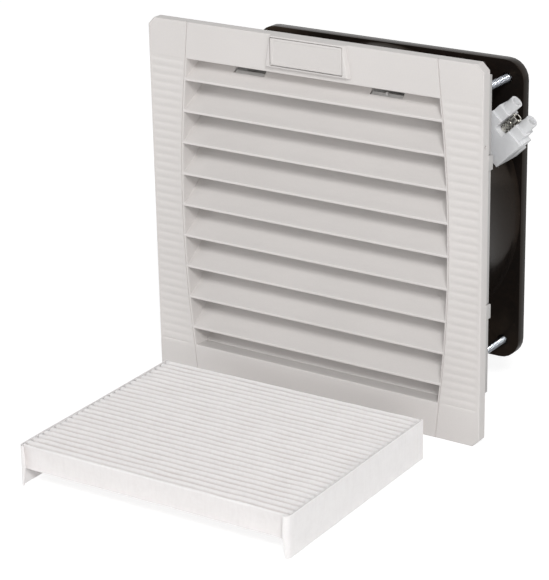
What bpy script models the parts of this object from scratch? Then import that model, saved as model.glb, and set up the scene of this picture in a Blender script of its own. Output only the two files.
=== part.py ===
"""Cabinet filter fan: louvred cover, base frame, axial fan, terminal block and filter mat.

Frame: X right, Y into the cabinet, Z up. The origin is the centre of the wall cut-out, in the
plane of the wall's outer face. Sizes are in metres, written as millimetres times MM.
"""
import math

import bmesh
import bpy
from mathutils import Matrix, Vector

MM = 0.001
GAP = 0.3 * MM

# Fan
FAN_SIZE = 119.0 * MM
FAN_DEPTH = 38.0 * MM
FAN_HOLE_INSET = 7.1 * MM
FAN_FLANGE = 4.3 * MM
FAN_CORNER_RADIUS = 8.0 * MM
FAN_HOLE_RADIUS = 2.15 * MM
SHROUD_EDGE = 1.2 * MM
SHROUD_WALL = 1.8 * MM
SHROUD_FLARE = 1.5 * MM
SHROUD_FLARE_DEPTH = 6.0 * MM
FLARE_BEND = 0.3
SHROUD_STEPS = 56
SHROUD_FILLET = 0.9 * MM
SHROUD_FILLET_DEPTH = 2.5 * MM
STRUT_WIDTH = 5.0 * MM
WIRE_STRUT_WIDTH = 9.0 * MM
STRUT_DEPTH = 3.5 * MM
STRUT_ANGLES = (150, 270)
STRUT_WALL = 1.5 * MM
CHANNEL_FLOOR = 1.2 * MM
CHANNEL_LAP = 3.0 * MM
WIRE_STRUT_ANGLE = 30
MOTOR_PLATE_RADIUS = 33.0 * MM
MOTOR_PLATE = 2.5 * MM

# Motor
SHAFT_RADIUS = 2.0 * MM
BEARING_RADIUS = 5.5 * MM
BEARING_WIDTH = 4.0 * MM
BEARING_TUBE_WALL = 1.7 * MM
CORE_RADIUS = 29.0 * MM
CORE_LENGTH = 14.0 * MM
CORE_SLOTS = 4
FIRST_SLOT = 45
SLOT_WIDTH = 6.0 * MM
SLOT_MOUTH = 2.0 * MM
SLOT_PLAY = 2.0 * MM
WINDING_INNER = 12.0 * MM
WINDING_SETBACK = 4.0 * MM
WINDING_HEIGHT = 5.0 * MM
AIR_GAP = 0.6 * MM
ROTOR_WALL = 1.4 * MM
BEARING_SETBACK = 1.3 * MM
BEARING_SINK = 0.5 * MM
TUBE_LAP = 2.0 * MM
SHAFT_END = 2.5 * MM
SLEEVE_SETBACK = 3.5 * MM
CLIP_WIDTH = 0.8 * MM
CLIP_RADIUS = 4.0 * MM
CLIP_MOUTH = 1.1 * MM
GROOVE_DEPTH = 0.5 * MM
GROOVE_PLAY = 0.2 * MM
RACE_WALL = 1.0 * MM
RACE_SINK = 0.5 * MM
ROTOR_BOSS_RADIUS = 5.0 * MM
WASHER_HEIGHT = 1.1 * MM
WASHER_RING = 1.5 * MM
PLATE_CLEARANCE = 1.8 * MM

# Impeller
BLADE_COUNT = 7
SLEEVE_WALL = 1.5 * MM
HUB_SETBACK = 2.2 * MM
TIP_CLEARANCE = 1.2 * MM
BLADE_HUB_CHORD = 29.0 * MM
BLADE_TIP_CHORD = 36.0 * MM
BLADE_HUB_PITCH = 44
BLADE_TIP_PITCH = 27
BLADE_THICKNESS = 1.8 * MM
BLADE_CAMBER = 3.0 * MM
BLADE_EDGE_SHARE = 0.35
BLADE_RADIAL_STEPS = 4
BLADE_CHORD_STEPS = 5
HUB_BEVEL = 2.0 * MM

# Base frame and wall cut-out
COLLAR_WALL = 1.95 * MM
CUTOUT_CLEARANCE = 0.75 * MM
BEZEL_LAP = 10.0 * MM
BASE_FLANGE = 1.8 * MM
GASKET_THICKNESS = 1.1 * MM
GASKET_WIDTH = 3.2 * MM
GASKET_INSET = 1.5 * MM
COLLAR_LAP = 0.9 * MM
SUPPORT_DEPTH = 1.3 * MM
SUPPORT_BARS = 8
SUPPORT_BAR_WIDTH = 1.6 * MM
CROSS_BARS = 2
FILTER_SPACE = 8.2 * MM
FILTER_RIB = 1.5 * MM
FILTER_ROOM = 1.0 * MM
SEAT_GAP = 0.5 * MM
BOSS_RADIUS = 3.6 * MM

# Cover
COVER_PROUD = 5.0 * MM
COVER_WALL = 1.5 * MM
RIM_WALL = 2.0 * MM
RIM_SETBACK = 0.5 * MM
CORNER_CHAMFER = 2.75 * MM
OPENING_SIDE = 1.3 * MM
OPENING_BAR = 1.65 * MM
OPENING_SAG = 3.6 * MM
DUCT_WALL = 1.2 * MM
DUCT_DRAFT = 1.2 * MM
SLAT_COUNT = 9
SLAT_DEPTH = 10.5 * MM
SLAT_WALL = 2.0 * MM
SLAT_NOSE = 0.9 * MM
SLAT_OVERLAP = 2.3 * MM
SLAT_START_SLOPE = 0.68
SLAT_STATIONS = (0.0, 0.12, 0.3, 0.5, 0.75, 1.0)
FIRST_SLAT_DROP = 8.6 * MM
LAST_SLAT_GAP = 6.9 * MM
ARC_STEPS = 16

# Badge boss, left bare
BADGE_WIDTH = 31.0 * MM
BADGE_HEIGHT = 10.2 * MM
BADGE_THICKNESS = 1.2 * MM
BOSS_PROUD = 1.8 * MM
BOSS_TOP_WIDTH = 33.5 * MM
BOSS_FOOT_WIDTH = 37.5 * MM
BOSS_HEIGHT = 12.9 * MM
BOSS_SLOPE = 0.6
BADGE_RAISE = 0.5 * MM

# Latches
LATCH_SPACING = 60.0 * MM
LATCH_WIDTH = 13.2 * MM
LATCH_WALL = 1.2 * MM
LATCH_SLOT_LENGTH = 5.5 * MM
LATCH_SLOT_DROP = 6.0 * MM
SLOT_LEDGE = 0.05 * MM
LATCH_PAD = 0.9 * MM
LATCH_REACH = 4.0 * MM
LATCH_HOOK = 1.3 * MM
LATCH_HOOK_GAP = 2.0 * MM
LATCH_CATCH = 1.2 * MM
LATCH_SWING_ROOM = 1.4 * MM

# Hinge along the cover's lower edge
HINGE_SPACING = 80.0 * MM
HINGE_WIDTH = 6.0 * MM
HINGE_PIN_RADIUS = 0.7 * MM
HINGE_HOOK_RADIUS = 1.4 * MM
HINGE_RISE = 1.7 * MM
HINGE_PIN_LAP = 1.2 * MM
HINGE_SNAP = 0.9
HOOK_CLEARANCE = 2.5 * MM

# Snap clips of the collar
CLIP_TONGUE_WIDTH = 5.6 * MM
CLIP_SPACING = 58.0 * MM
CLIP_BARB = 1.65 * MM
CLIP_BARB_LAND = 0.8 * MM
CLIP_RAMP_END = 6.5 * MM
CLIP_INNER_SETBACK = 0.1 * MM
CLIP_FACE_SETBACK = 0.25 * MM
CLIP_TAB = 0.7 * MM
CLIP_ROOT = 1.5 * MM
CLIP_END = 0.4 * MM
WALL_GRIP = 3.2 * MM

# Fan screws and finger guard
SCREW_RADIUS = 1.5 * MM
SCREW_HEAD_RADIUS = 3.0 * MM
SCREW_HEAD_HEIGHT = 2.4 * MM
SCREW_HEAD_CROWN = 0.9 * MM
SCREW_TAPER = 0.6
SCREW_RECESS = 3.2 * MM
SCREW_RECESS_WIDTH = 0.7 * MM
SCREW_RECESS_DEPTH = 1.2 * MM
SCREW_THREAD_GRIP = 8.8 * MM
GUARD_WIRE = 1.6 * MM
GUARD_RING_SHARES = (0.25, 0.46, 0.67, 0.885)
GUARD_STEP = 1.3 * MM

# Terminal block on the fan's upper right corner
TERMINAL_TILT = 45
TERMINAL_REACH = 19.9 * MM
TERMINAL_OFFSET = 10.75 * MM
POLE_PITCH = 4.5 * MM
POLE_TUBE_RADIUS = 2.45 * MM
POLE_TUBE_LENGTH = 4.5 * MM
POLE_SHOULDER = 3.5 * MM
POLE_BORE_RADIUS = 1.7 * MM
POLE_BORE_DEPTH = 9.0 * MM
SHOULDER_HALF = 2.9 * MM
SHOULDER_STEP = 1.0 * MM
TERMINAL_LENGTH = 13.5 * MM
TERMINAL_MARGIN = 3.0 * MM
TERMINAL_FOOT = 4.6 * MM
TERMINAL_LIP = 1.3 * MM
LIP_STEP = 2.0 * MM
LIP_HEIGHT = 4.0 * MM
TERMINAL_THICKNESS = 9.0 * MM
BRACKET_THICKNESS = 6.4 * MM
BRACKET_SETBACK = 7.5 * MM
EARTH_CLAMP_RADIUS = 1.9 * MM
EARTH_CLAMP_LENGTH = 7.4 * MM
EARTH_CLAMP_SINK = 3.3 * MM
EARTH_CLAMP_WALL = 0.7 * MM
EARTH_RINGS = 3
EARTH_RING_START = 1.3 * MM
EARTH_RING_PITCH = 1.7 * MM
EARTH_RING_WIDTH = 0.6 * MM
CLAMP_SCREW_RADIUS = 1.2 * MM
CLAMP_SCREW_SETBACK = 4.0 * MM
CLAMP_SCREW_SINK = 0.4 * MM
CLAMP_SLOT_DEPTH = 0.8 * MM
CLAMP_SLOT_WIDTH = 0.5 * MM
CLAMP_WALL = 0.5 * MM

# Filter mat, lying in front of the cover
FILTER_WIDTH = 113.6 * MM
FILTER_LENGTH = 89.0 * MM
FILTER_BAND_HEIGHT = 16.0 * MM
FILTER_BAND = 0.9 * MM
FILTER_BAND_REACH = 2.0 * MM
FILTER_BAND_END = 1.0 * MM
FILTER_PACK = 9.5 * MM
FILTER_PAPER = 1.2 * MM
FILTER_LEAF = 0.72 * MM
FILTER_FOLD = 1.92 * MM
FILTER_PLEATS = 27
FILTER_DISTANCE = 20.8 * MM
FILTER_SHIFT = 3.3 * MM
FILTER_TURN = 1.4

# Facets round each kind of round form
CORNER_STEPS = 6
DISC_STEPS = 48
TUBE_STEPS = 32
SLEEVE_STEPS = 49
CUP_STEPS = 40
CORE_STEPS = 36
WINDING_STEPS = 28
SHAFT_STEPS = 24
BEARING_STEPS = 16
RING_STEPS = 32
FIRST_RING_STEPS = 20
WIRE_SIDES = 5
LEG_SIDES = 6
EYE_STEPS = 12
SCREW_STEPS = 14
HOLE_SIDES = 14
BORE_SIDES = 12
BOSS_SIDES = 20
HOOK_SIDES = 20
HOOK_BORE_SIDES = 16
PIN_SIDES = 12
POLE_SIDES = 20
CLAMP_SIDES = 14
CLAMP_BORE_SIDES = 10
POLE_CLAMP_BORE_SIDES = 12

# Places that follow from the sizes above
COLLAR_INNER = FAN_SIZE / 2 + GAP
COLLAR_OUTER = COLLAR_INNER + COLLAR_WALL
CUTOUT_HALF = COLLAR_OUTER + CUTOUT_CLEARANCE
COVER_HALF = CUTOUT_HALF + BEZEL_LAP
COVER_FRONT = -COVER_PROUD
COVER_BACK = COVER_FRONT + COVER_WALL
RIM_BACK = -RIM_SETBACK
DUCT_BACK = COVER_FRONT + SLAT_DEPTH
FLANGE_FRONT = COVER_BACK + GAP
FLANGE_BACK = FLANGE_FRONT + BASE_FLANGE
FILTER_SEAT = DUCT_BACK + SEAT_GAP
SUPPORT_FRONT = FILTER_SEAT + FILTER_SPACE
SUPPORT_BACK = SUPPORT_FRONT + SUPPORT_DEPTH
FAN_FRONT = SUPPORT_BACK + GAP
FAN_BACK = FAN_FRONT + FAN_DEPTH
REAR_FLANGE_FRONT = FAN_BACK - FAN_FLANGE
COLLAR_BACK = FAN_FRONT + FAN_FLANGE + COLLAR_LAP
SHROUD_OUTER = FAN_SIZE / 2 - SHROUD_EDGE
SHROUD_INNER = SHROUD_OUTER - SHROUD_WALL
HOLE_OFFSET = FAN_SIZE / 2 - FAN_HOLE_INSET
SCREW_BORE_RADIUS = SCREW_RADIUS + GAP
HINGE_Y = FLANGE_FRONT + HINGE_HOOK_RADIUS
HINGE_Z = -COVER_HALF + HINGE_RISE
HINGE_POINT = Vector((0, HINGE_Y, HINGE_Z))
OPENING_HALF_WIDTH = COLLAR_INNER - OPENING_SIDE
OPENING_HALF_HEIGHT = COLLAR_INNER - OPENING_BAR
SLAT_PITCH = (2 * OPENING_HALF_HEIGHT - FIRST_SLAT_DROP - LAST_SLAT_GAP) / (SLAT_COUNT - 1)
SLAT_RISE = SLAT_PITCH - SLAT_OVERLAP
SLOT_FRONT = DUCT_BACK - LATCH_SLOT_LENGTH
SLOT_BOTTOM = OPENING_HALF_HEIGHT - LATCH_SLOT_DROP
LATCH_HOOK_FRONT = DUCT_BACK + LATCH_REACH
FIRST_SLAT_Z = OPENING_HALF_HEIGHT - FIRST_SLAT_DROP
GUARD_BACK = FAN_BACK + GAP + GUARD_WIRE
SCREW_SEAT = GUARD_BACK + GAP
SCREW_TIP = SUPPORT_BACK - SCREW_THREAD_GRIP
FLOOR_Z = -COVER_HALF
FILTER_BACK_Y = COVER_FRONT - FILTER_DISTANCE
FILTER_TOP = FLOOR_Z + FILTER_BAND_HEIGHT

# Motor chain, from the motor plate forward
PLATE_FRONT = FAN_BACK - MOTOR_PLATE
TUBE_INNER = BEARING_RADIUS + GAP
TUBE_OUTER = TUBE_INNER + BEARING_TUBE_WALL
REAR_BEARING_BACK = PLATE_FRONT - BEARING_SETBACK
REAR_BEARING_FRONT = REAR_BEARING_BACK - BEARING_WIDTH
WINDING_BACK = PLATE_FRONT - PLATE_CLEARANCE
CORE_BACK = WINDING_BACK - WINDING_HEIGHT - GAP
CORE_FRONT = CORE_BACK - CORE_LENGTH
WINDING_FRONT = CORE_FRONT - GAP - WINDING_HEIGHT
TUBE_FRONT = CORE_FRONT - TUBE_LAP
FRONT_BEARING_FRONT = TUBE_FRONT + BEARING_SINK
WINDING_OUTER = CORE_RADIUS - WINDING_SETBACK
ROTOR_INNER = CORE_RADIUS + AIR_GAP
ROTOR_OUTER = ROTOR_INNER + ROTOR_WALL
SLEEVE_INNER = ROTOR_OUTER + GAP
SLEEVE_OUTER = SLEEVE_INNER + SLEEVE_WALL
HUB_FRONT = FAN_FRONT + HUB_SETBACK
ROTOR_FRONT = HUB_FRONT + SLEEVE_WALL + GAP
ROTOR_BACK = PLATE_FRONT - PLATE_CLEARANCE
SLEEVE_BACK = ROTOR_BACK - SLEEVE_SETBACK
BLADE_TIP_RADIUS = SHROUD_INNER - TIP_CLEARANCE
SHAFT_BACK = REAR_BEARING_BACK + SHAFT_END


def clear_scene():
    for old in list(bpy.data.objects):
        bpy.data.objects.remove(old, do_unlink=True)


def material(name, colour, roughness, metallic=0.0):
    made = bpy.data.materials.new(name)
    made.use_nodes = True
    shader = made.node_tree.nodes["Principled BSDF"]
    shader.inputs["Base Color"].default_value = (*colour, 1.0)
    shader.inputs["Roughness"].default_value = roughness
    shader.inputs["Metallic"].default_value = metallic
    return made


# Solid building blocks

def place_point(plane, u, v, depth):
    if plane == "XZ":
        return Vector((u, depth, v))
    if plane == "YZ":
        return Vector((depth, u, v))
    return Vector((u, v, depth))


def prism(outline, low, high, plane="XZ"):
    """A closed outline in the named plane, extruded from low to high along the third axis."""
    solid = bmesh.new()
    corners = [solid.verts.new(place_point(plane, u, v, low)) for u, v in outline]
    face = solid.faces.new(corners)
    grown = bmesh.ops.extrude_face_region(solid, geom=[face])
    moved = [part for part in grown["geom"] if isinstance(part, bmesh.types.BMVert)]
    shift = place_point(plane, 0, 0, high) - place_point(plane, 0, 0, low)
    bmesh.ops.translate(solid, verts=moved, vec=shift)
    bmesh.ops.recalc_face_normals(solid, faces=solid.faces)
    return solid


def block(x_range, y_range, z_range):
    (x0, x1), (z0, z1) = x_range, z_range
    return prism([(x0, z0), (x1, z0), (x1, z1), (x0, z1)], y_range[0], y_range[1])


def square(half, corner=0.0, steps=1):
    """A square outline with corners cut straight (one step) or rounded (more steps)."""
    if corner == 0.0:
        return [(-half, -half), (half, -half), (half, half), (-half, half)]
    points = []
    for turn, (sx, sz) in enumerate(((1, -1), (1, 1), (-1, 1), (-1, -1))):
        centre_x = sx * (half - corner)
        centre_z = sz * (half - corner)
        for step in range(steps + 1):
            angle = math.radians(-90 + 90 * turn + 90 * step / steps)
            points.append((centre_x + corner * math.cos(angle), centre_z + corner * math.sin(angle)))
    return points


def revolve(profile, steps=DISC_STEPS):
    """A closed (radius, y) profile turned about the fan's axis."""
    solid = bmesh.new()
    verts = [solid.verts.new((radius, y, 0)) for radius, y in profile]
    edges = [solid.edges.new((verts[i - 1], verts[i])) for i in range(len(verts))]
    bmesh.ops.spin(solid, geom=verts + edges, cent=(0, 0, 0), axis=(0, 1, 0),
                   angle=math.tau, steps=steps, use_merge=True)
    bmesh.ops.remove_doubles(solid, verts=solid.verts, dist=1e-7)
    bmesh.ops.recalc_face_normals(solid, faces=solid.faces)
    return solid


def tube_profile(inner, outer, front, back):
    return [(inner, front), (outer, front), (outer, back), (inner, back)]


def rod(start, end, radius, sides=16):
    """A round bar between two points."""
    start = Vector(start)
    run = Vector(end) - start
    solid = bmesh.new()
    turn = run.to_track_quat("Z", "Y").to_matrix().to_4x4()
    bmesh.ops.create_cone(solid, cap_ends=True, segments=sides, radius1=radius, radius2=radius,
                          depth=run.length, matrix=Matrix.Translation(start + run / 2) @ turn)
    return solid


def wire_ring(radius, y, wire, steps=RING_STEPS, sides=WIRE_SIDES):
    profile = []
    for side in range(sides):
        angle = math.tau * side / sides
        profile.append((radius + wire / 2 * math.cos(angle), y + wire / 2 * math.sin(angle)))
    return revolve(profile, steps)


def loft(loops, closed=False):
    """Faces between neighbouring loops; ends are capped, or joined to each other if closed."""
    solid = bmesh.new()
    rows = [[solid.verts.new(point) for point in loop] for loop in loops]
    pairs = list(zip(rows, rows[1:]))
    if closed:
        pairs.append((rows[-1], rows[0]))
    for near, far in pairs:
        for i in range(len(near)):
            solid.faces.new((near[i - 1], near[i], far[i], far[i - 1]))
    if not closed:
        solid.faces.new(rows[0])
        solid.faces.new(rows[-1])
    bmesh.ops.recalc_face_normals(solid, faces=solid.faces)
    return solid


def joined(solids):
    """Several solids in one mesh, still separate bodies."""
    whole = bmesh.new()
    for solid in solids:
        carrier = bpy.data.meshes.new("carrier")
        solid.to_mesh(carrier)
        whole.from_mesh(carrier)
        solid.free()
        bpy.data.meshes.remove(carrier)
    return whole


def temporary_object(solid):
    mesh = bpy.data.meshes.new("temporary")
    solid.to_mesh(mesh)
    solid.free()
    made = bpy.data.objects.new("temporary", mesh)
    bpy.context.collection.objects.link(made)
    return made


def combine(base, tools, operation):
    """Boolean of one solid with a list of solids that may overlap one another."""
    base_object = temporary_object(base)
    tool_object = temporary_object(joined(tools))
    change = base_object.modifiers.new("combine", "BOOLEAN")
    change.operation = operation
    change.solver = "EXACT"
    change.use_self = len(tools) > 1
    change.object = tool_object
    graph = bpy.context.evaluated_depsgraph_get()
    mesh = bpy.data.meshes.new_from_object(base_object.evaluated_get(graph))
    result = bmesh.new()
    result.from_mesh(mesh)
    for used in (base_object, tool_object):
        used_mesh = used.data
        bpy.data.objects.remove(used, do_unlink=True)
        bpy.data.meshes.remove(used_mesh)
    bpy.data.meshes.remove(mesh)
    bmesh.ops.remove_doubles(result, verts=result.verts, dist=1e-7)
    bmesh.ops.dissolve_degenerate(result, edges=result.edges, dist=1e-7)
    return result


def union(base, *tools):
    return combine(base, list(tools), "UNION")


def cut(base, *tools):
    return combine(base, list(tools), "DIFFERENCE")


def turned(solid, degrees, centre=(0, 0, 0)):
    """The solid turned about an axis along Y through the centre."""
    bmesh.ops.rotate(solid, verts=solid.verts, cent=centre,
                     matrix=Matrix.Rotation(math.radians(degrees), 3, "Y"))
    return solid


def shifted(solid, offset):
    bmesh.ops.translate(solid, verts=solid.verts, vec=Vector(offset))
    return solid


def mirrored(solid):
    """The solid mirrored in the X direction, faces still pointing out."""
    bmesh.ops.scale(solid, verts=solid.verts, vec=(-1, 1, 1))
    bmesh.ops.reverse_faces(solid, faces=solid.faces)
    return solid


def axis_empty(name, place):
    made = bpy.data.objects.new(name, None)
    made.location = place
    made.empty_display_size = 10 * MM
    bpy.context.collection.objects.link(made)
    return made


def make_piece(name, solid, finish, carrier=None, origin=(0, 0, 0), round_form=False):
    """Name a solid, give it its finish, and hang it on its carrier with its origin on the joint."""
    origin = carrier.location.copy() if carrier else Vector(origin)
    bmesh.ops.translate(solid, verts=solid.verts, vec=-origin)
    mesh = bpy.data.meshes.new(name)
    solid.to_mesh(mesh)
    solid.free()
    mesh.materials.append(finish)
    if round_form:
        mesh.shade_smooth()
        mesh.set_sharp_from_angle(angle=math.radians(35))
    made = bpy.data.objects.new(name, mesh)
    bpy.context.collection.objects.link(made)
    if carrier:
        made.parent = carrier
    else:
        made.location = origin
    return made


# Louvred cover

def opening_half_width(z):
    """The louvre opening bulges like a barrel: widest at mid height."""
    return OPENING_HALF_WIDTH - OPENING_SAG * (z / OPENING_HALF_HEIGHT) ** 2


def opening_loop(y, grow):
    """The opening's outline at depth y, grown outwards; its sides draw in towards the back."""
    draft = DUCT_DRAFT * (y - COVER_FRONT) / SLAT_DEPTH
    top = OPENING_HALF_HEIGHT + grow
    points = []
    for side in (1, -1):
        for step in range(ARC_STEPS + 1):
            z = side * top * (2 * step / ARC_STEPS - 1)
            points.append(Vector((side * (opening_half_width(z) + grow - draft), y, z)))
    return points


def opening_block(front, back, grow):
    return loft([opening_loop(front, grow), opening_loop(back, grow)])


def slat_top(front_z, depth):
    """Height of a slat's upper face: it climbs gently behind the nose and steeper at the back."""
    t = depth / SLAT_DEPTH
    climb = SLAT_START_SLOPE * t + (1 - SLAT_START_SLOPE) * t ** 2
    return front_z + SLAT_NOSE + (SLAT_RISE - SLAT_NOSE) * climb


def slat_profile(front_z):
    """Nose flush with the cover, then a curved blade that hides the opening from above."""
    upper = []
    lower = []
    for share in SLAT_STATIONS:
        depth = SLAT_DEPTH * share
        z = slat_top(front_z, depth)
        wall = SLAT_NOSE + (SLAT_WALL - SLAT_NOSE) * min(1.0, share / SLAT_STATIONS[2])
        upper.append((COVER_FRONT + depth, z))
        lower.append((COVER_FRONT + depth, z - wall))
    return upper + lower[::-1]


def slat_heights():
    return [FIRST_SLAT_Z - SLAT_PITCH * k for k in range(SLAT_COUNT)]


def badge_boss():
    """A raised trapezoid at the top edge, with sloping flanks."""
    top = COVER_HALF
    foot = COVER_HALF - BOSS_HEIGHT
    root = COVER_FRONT + COVER_WALL / 2
    face = COVER_FRONT - BOSS_PROUD
    half_top = BOSS_TOP_WIDTH / 2
    half_foot = BOSS_FOOT_WIDTH / 2
    slope = BOSS_PROUD * BOSS_SLOPE
    base_loop = [(-half_foot, root, foot), (half_foot, root, foot),
                 (half_top, root, top), (-half_top, root, top)]
    face_loop = [(-half_foot + slope, face, foot + slope), (half_foot - slope, face, foot + slope),
                 (half_top - slope, face, top), (-half_top + slope, face, top)]
    return loft([base_loop, face_loop])


def badge_centre_z():
    return COVER_HALF - BOSS_HEIGHT / 2 + BADGE_RAISE


def badge_pocket():
    half_width = BADGE_WIDTH / 2 + GAP
    half_height = BADGE_HEIGHT / 2 + GAP
    middle = badge_centre_z()
    face = COVER_FRONT - BOSS_PROUD
    return block((-half_width, half_width), (face - GAP, face + BADGE_THICKNESS + GAP),
                 (middle - half_height, middle + half_height))


def latch_slot(centre_x):
    """The slot over the latch tongue, with room under its arm."""
    half = LATCH_WIDTH / 2 + GAP
    return block((centre_x - half, centre_x + half), (SLOT_FRONT, DUCT_BACK + MM),
                 (SLOT_BOTTOM - LATCH_WALL / 2 - GAP, OPENING_HALF_HEIGHT - SLOT_LEDGE))


def hinge_places():
    return (-HINGE_SPACING / 2, HINGE_SPACING / 2)


def hinge_rod(centre_x, half, radius, sides):
    """A round bar along the hinge's line, half its length to each side of the centre."""
    return rod((centre_x - half, HINGE_Y, HINGE_Z), (centre_x + half, HINGE_Y, HINGE_Z), radius, sides)


def hinge_notch(centre_x):
    half = HINGE_WIDTH / 2 + GAP
    return block((centre_x - half, centre_x + half), (COVER_BACK, RIM_BACK + MM),
                 (-COVER_HALF - MM, -COVER_HALF + RIM_WALL + MM))


def hinge_pin(centre_x):
    return hinge_rod(centre_x, HINGE_WIDTH / 2 + HINGE_PIN_LAP, HINGE_PIN_RADIUS, PIN_SIDES)


def front_grille():
    shell = prism(square(COVER_HALF, CORNER_CHAMFER), COVER_FRONT, RIM_BACK)
    inner = COVER_HALF - RIM_WALL
    shell = cut(shell, block((-inner, inner), (COVER_BACK, MM), (-inner, inner)))
    shell = union(shell, opening_block(COVER_FRONT + COVER_WALL / 2, DUCT_BACK, DUCT_WALL), badge_boss())
    shell = cut(shell, opening_block(COVER_FRONT - MM, DUCT_BACK + MM, 0.0), badge_pocket())
    slats = []
    for front_z in slat_heights():
        slats.append(prism(slat_profile(front_z), -COVER_HALF, COVER_HALF, "YZ"))
    opening = opening_block(COVER_FRONT - MM, DUCT_BACK + MM, DUCT_WALL / 2)
    slats = combine(joined(slats), [opening], "INTERSECT")
    shell = union(shell, slats)
    latches = (-LATCH_SPACING / 2, LATCH_SPACING / 2)
    shell = cut(shell, *[latch_slot(x) for x in latches], *[hinge_notch(x) for x in hinge_places()])
    return union(shell, *[hinge_pin(x) for x in hinge_places()])


def badge_plate():
    middle = badge_centre_z()
    face = COVER_FRONT - BOSS_PROUD
    return block((-BADGE_WIDTH / 2, BADGE_WIDTH / 2), (face, face + BADGE_THICKNESS),
                 (middle - BADGE_HEIGHT / 2, middle + BADGE_HEIGHT / 2))


def latch_pivot(centre_x):
    return Vector((centre_x, SLOT_FRONT + GAP + 2 * LATCH_PAD, SLOT_BOTTOM))


def latch_tongue(centre_x):
    """A sprung tongue: a finger pad in the slot, an arm under the slat and a hook at its end."""
    pad_front = SLOT_FRONT + GAP
    pad_back = pad_front + LATCH_PAD
    hook_back = LATCH_HOOK_FRONT + LATCH_WALL
    arm_bottom = SLOT_BOTTOM - LATCH_WALL / 2
    arm_top = SLOT_BOTTOM + LATCH_WALL / 2
    pad_drop = LATCH_WALL / 2
    hook_top = COLLAR_INNER - LATCH_HOOK_GAP
    outline = [(pad_front, arm_bottom),
               (pad_front, slat_top(FIRST_SLAT_Z, pad_front - COVER_FRONT) - pad_drop),
               (pad_back, slat_top(FIRST_SLAT_Z, pad_back - COVER_FRONT) - pad_drop),
               (pad_back + pad_drop, arm_top),
               (LATCH_HOOK_FRONT, arm_top),
               (LATCH_HOOK_FRONT, hook_top - LATCH_HOOK),
               (hook_back, hook_top),
               (hook_back + LATCH_WALL, hook_top - LATCH_HOOK),
               (hook_back, hook_top - LATCH_HOOK),
               (hook_back, arm_bottom)]
    return prism(outline, centre_x - LATCH_WIDTH / 2, centre_x + LATCH_WIDTH / 2, "YZ")


# Base frame, gasket and clips

def filter_rib_z():
    return FILTER_LENGTH / 2 + FILTER_ROOM


def support_grid():
    bars = []
    depth = (SUPPORT_FRONT, SUPPORT_BACK)
    reach = COLLAR_INNER + COLLAR_WALL / 2
    half = SUPPORT_BAR_WIDTH / 2
    for number in range(1, SUPPORT_BARS + 1):
        x = -COLLAR_INNER + 2 * COLLAR_INNER * number / (SUPPORT_BARS + 1)
        bars.append(block((x - half, x + half), depth, (-reach, reach)))
    for number in range(1, CROSS_BARS + 1):
        z = -COLLAR_INNER + 2 * COLLAR_INNER * number / (CROSS_BARS + 1)
        bars.append(block((-reach, reach), depth, (z - half, z + half)))
    return bars


def filter_ribs():
    """Ribs above and below the mat, with shelves that close the frame beyond them."""
    inner = filter_rib_z()
    reach = COLLAR_INNER + COLLAR_WALL / 2
    ribs = []
    for side in (-1, 1):
        z_range = sorted((side * inner, side * (inner + FILTER_RIB)))
        ribs.append(block((-reach, reach), (FILTER_SEAT, SUPPORT_BACK), z_range))
        shelf_range = sorted((side * inner, side * reach))
        ribs.append(block((-reach, reach), (SUPPORT_FRONT, SUPPORT_BACK), shelf_range))
    return ribs


def corner_places():
    return [(x, z) for x in (-HOLE_OFFSET, HOLE_OFFSET) for z in (-HOLE_OFFSET, HOLE_OFFSET)]


def hinge_hook(centre_x):
    """A hook around the cover's hinge pin, open below so that the pin snaps in."""
    half = HINGE_WIDTH / 2
    stem_top = HINGE_Z + HOOK_CLEARANCE + MM
    stem = block((centre_x - half, centre_x + half),
                 (HINGE_Y - HINGE_HOOK_RADIUS, HINGE_Y + HINGE_HOOK_RADIUS), (HINGE_Z, stem_top))
    return stem, hinge_rod(centre_x, half, HINGE_HOOK_RADIUS, HOOK_SIDES)


def hinge_hook_cuts(centre_x):
    reach = HINGE_WIDTH / 2 + MM
    bore = hinge_rod(centre_x, reach, HINGE_PIN_RADIUS + GAP, HOOK_BORE_SIDES)
    mouth_half = HINGE_PIN_RADIUS * HINGE_SNAP
    mouth = block((centre_x - reach, centre_x + reach), (HINGE_Y - mouth_half, HINGE_Y + mouth_half),
                  (HINGE_Z - 2 * HINGE_HOOK_RADIUS, HINGE_Z))
    return bore, mouth


def clip_heights():
    return (-CLIP_SPACING / 2, CLIP_SPACING / 2)


def clip_window(side, z):
    half = CLIP_TONGUE_WIDTH / 2 + GAP
    x_range = sorted((side * (COLLAR_INNER - MM), side * (COLLAR_OUTER + MM)))
    return block(x_range, (WALL_GRIP - GAP, COLLAR_BACK + MM), (z - half, z + half))


def latch_room(centre_x):
    """The space that the tongue swings in, kept free of ribs."""
    half = LATCH_WIDTH / 2 + GAP
    return block((centre_x - half, centre_x + half), (FLANGE_FRONT, LATCH_HOOK_FRONT + 2 * LATCH_WALL + GAP),
                 (SLOT_BOTTOM - LATCH_WALL / 2 - LATCH_SWING_ROOM, COLLAR_INNER))


def latch_catch(centre_x):
    half = LATCH_WIDTH / 2
    return block((centre_x - half, centre_x + half), (LATCH_HOOK_FRONT - LATCH_CATCH, LATCH_HOOK_FRONT),
                 (COLLAR_INNER - LATCH_CATCH / 2, COLLAR_INNER + COLLAR_WALL / 2))


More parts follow.
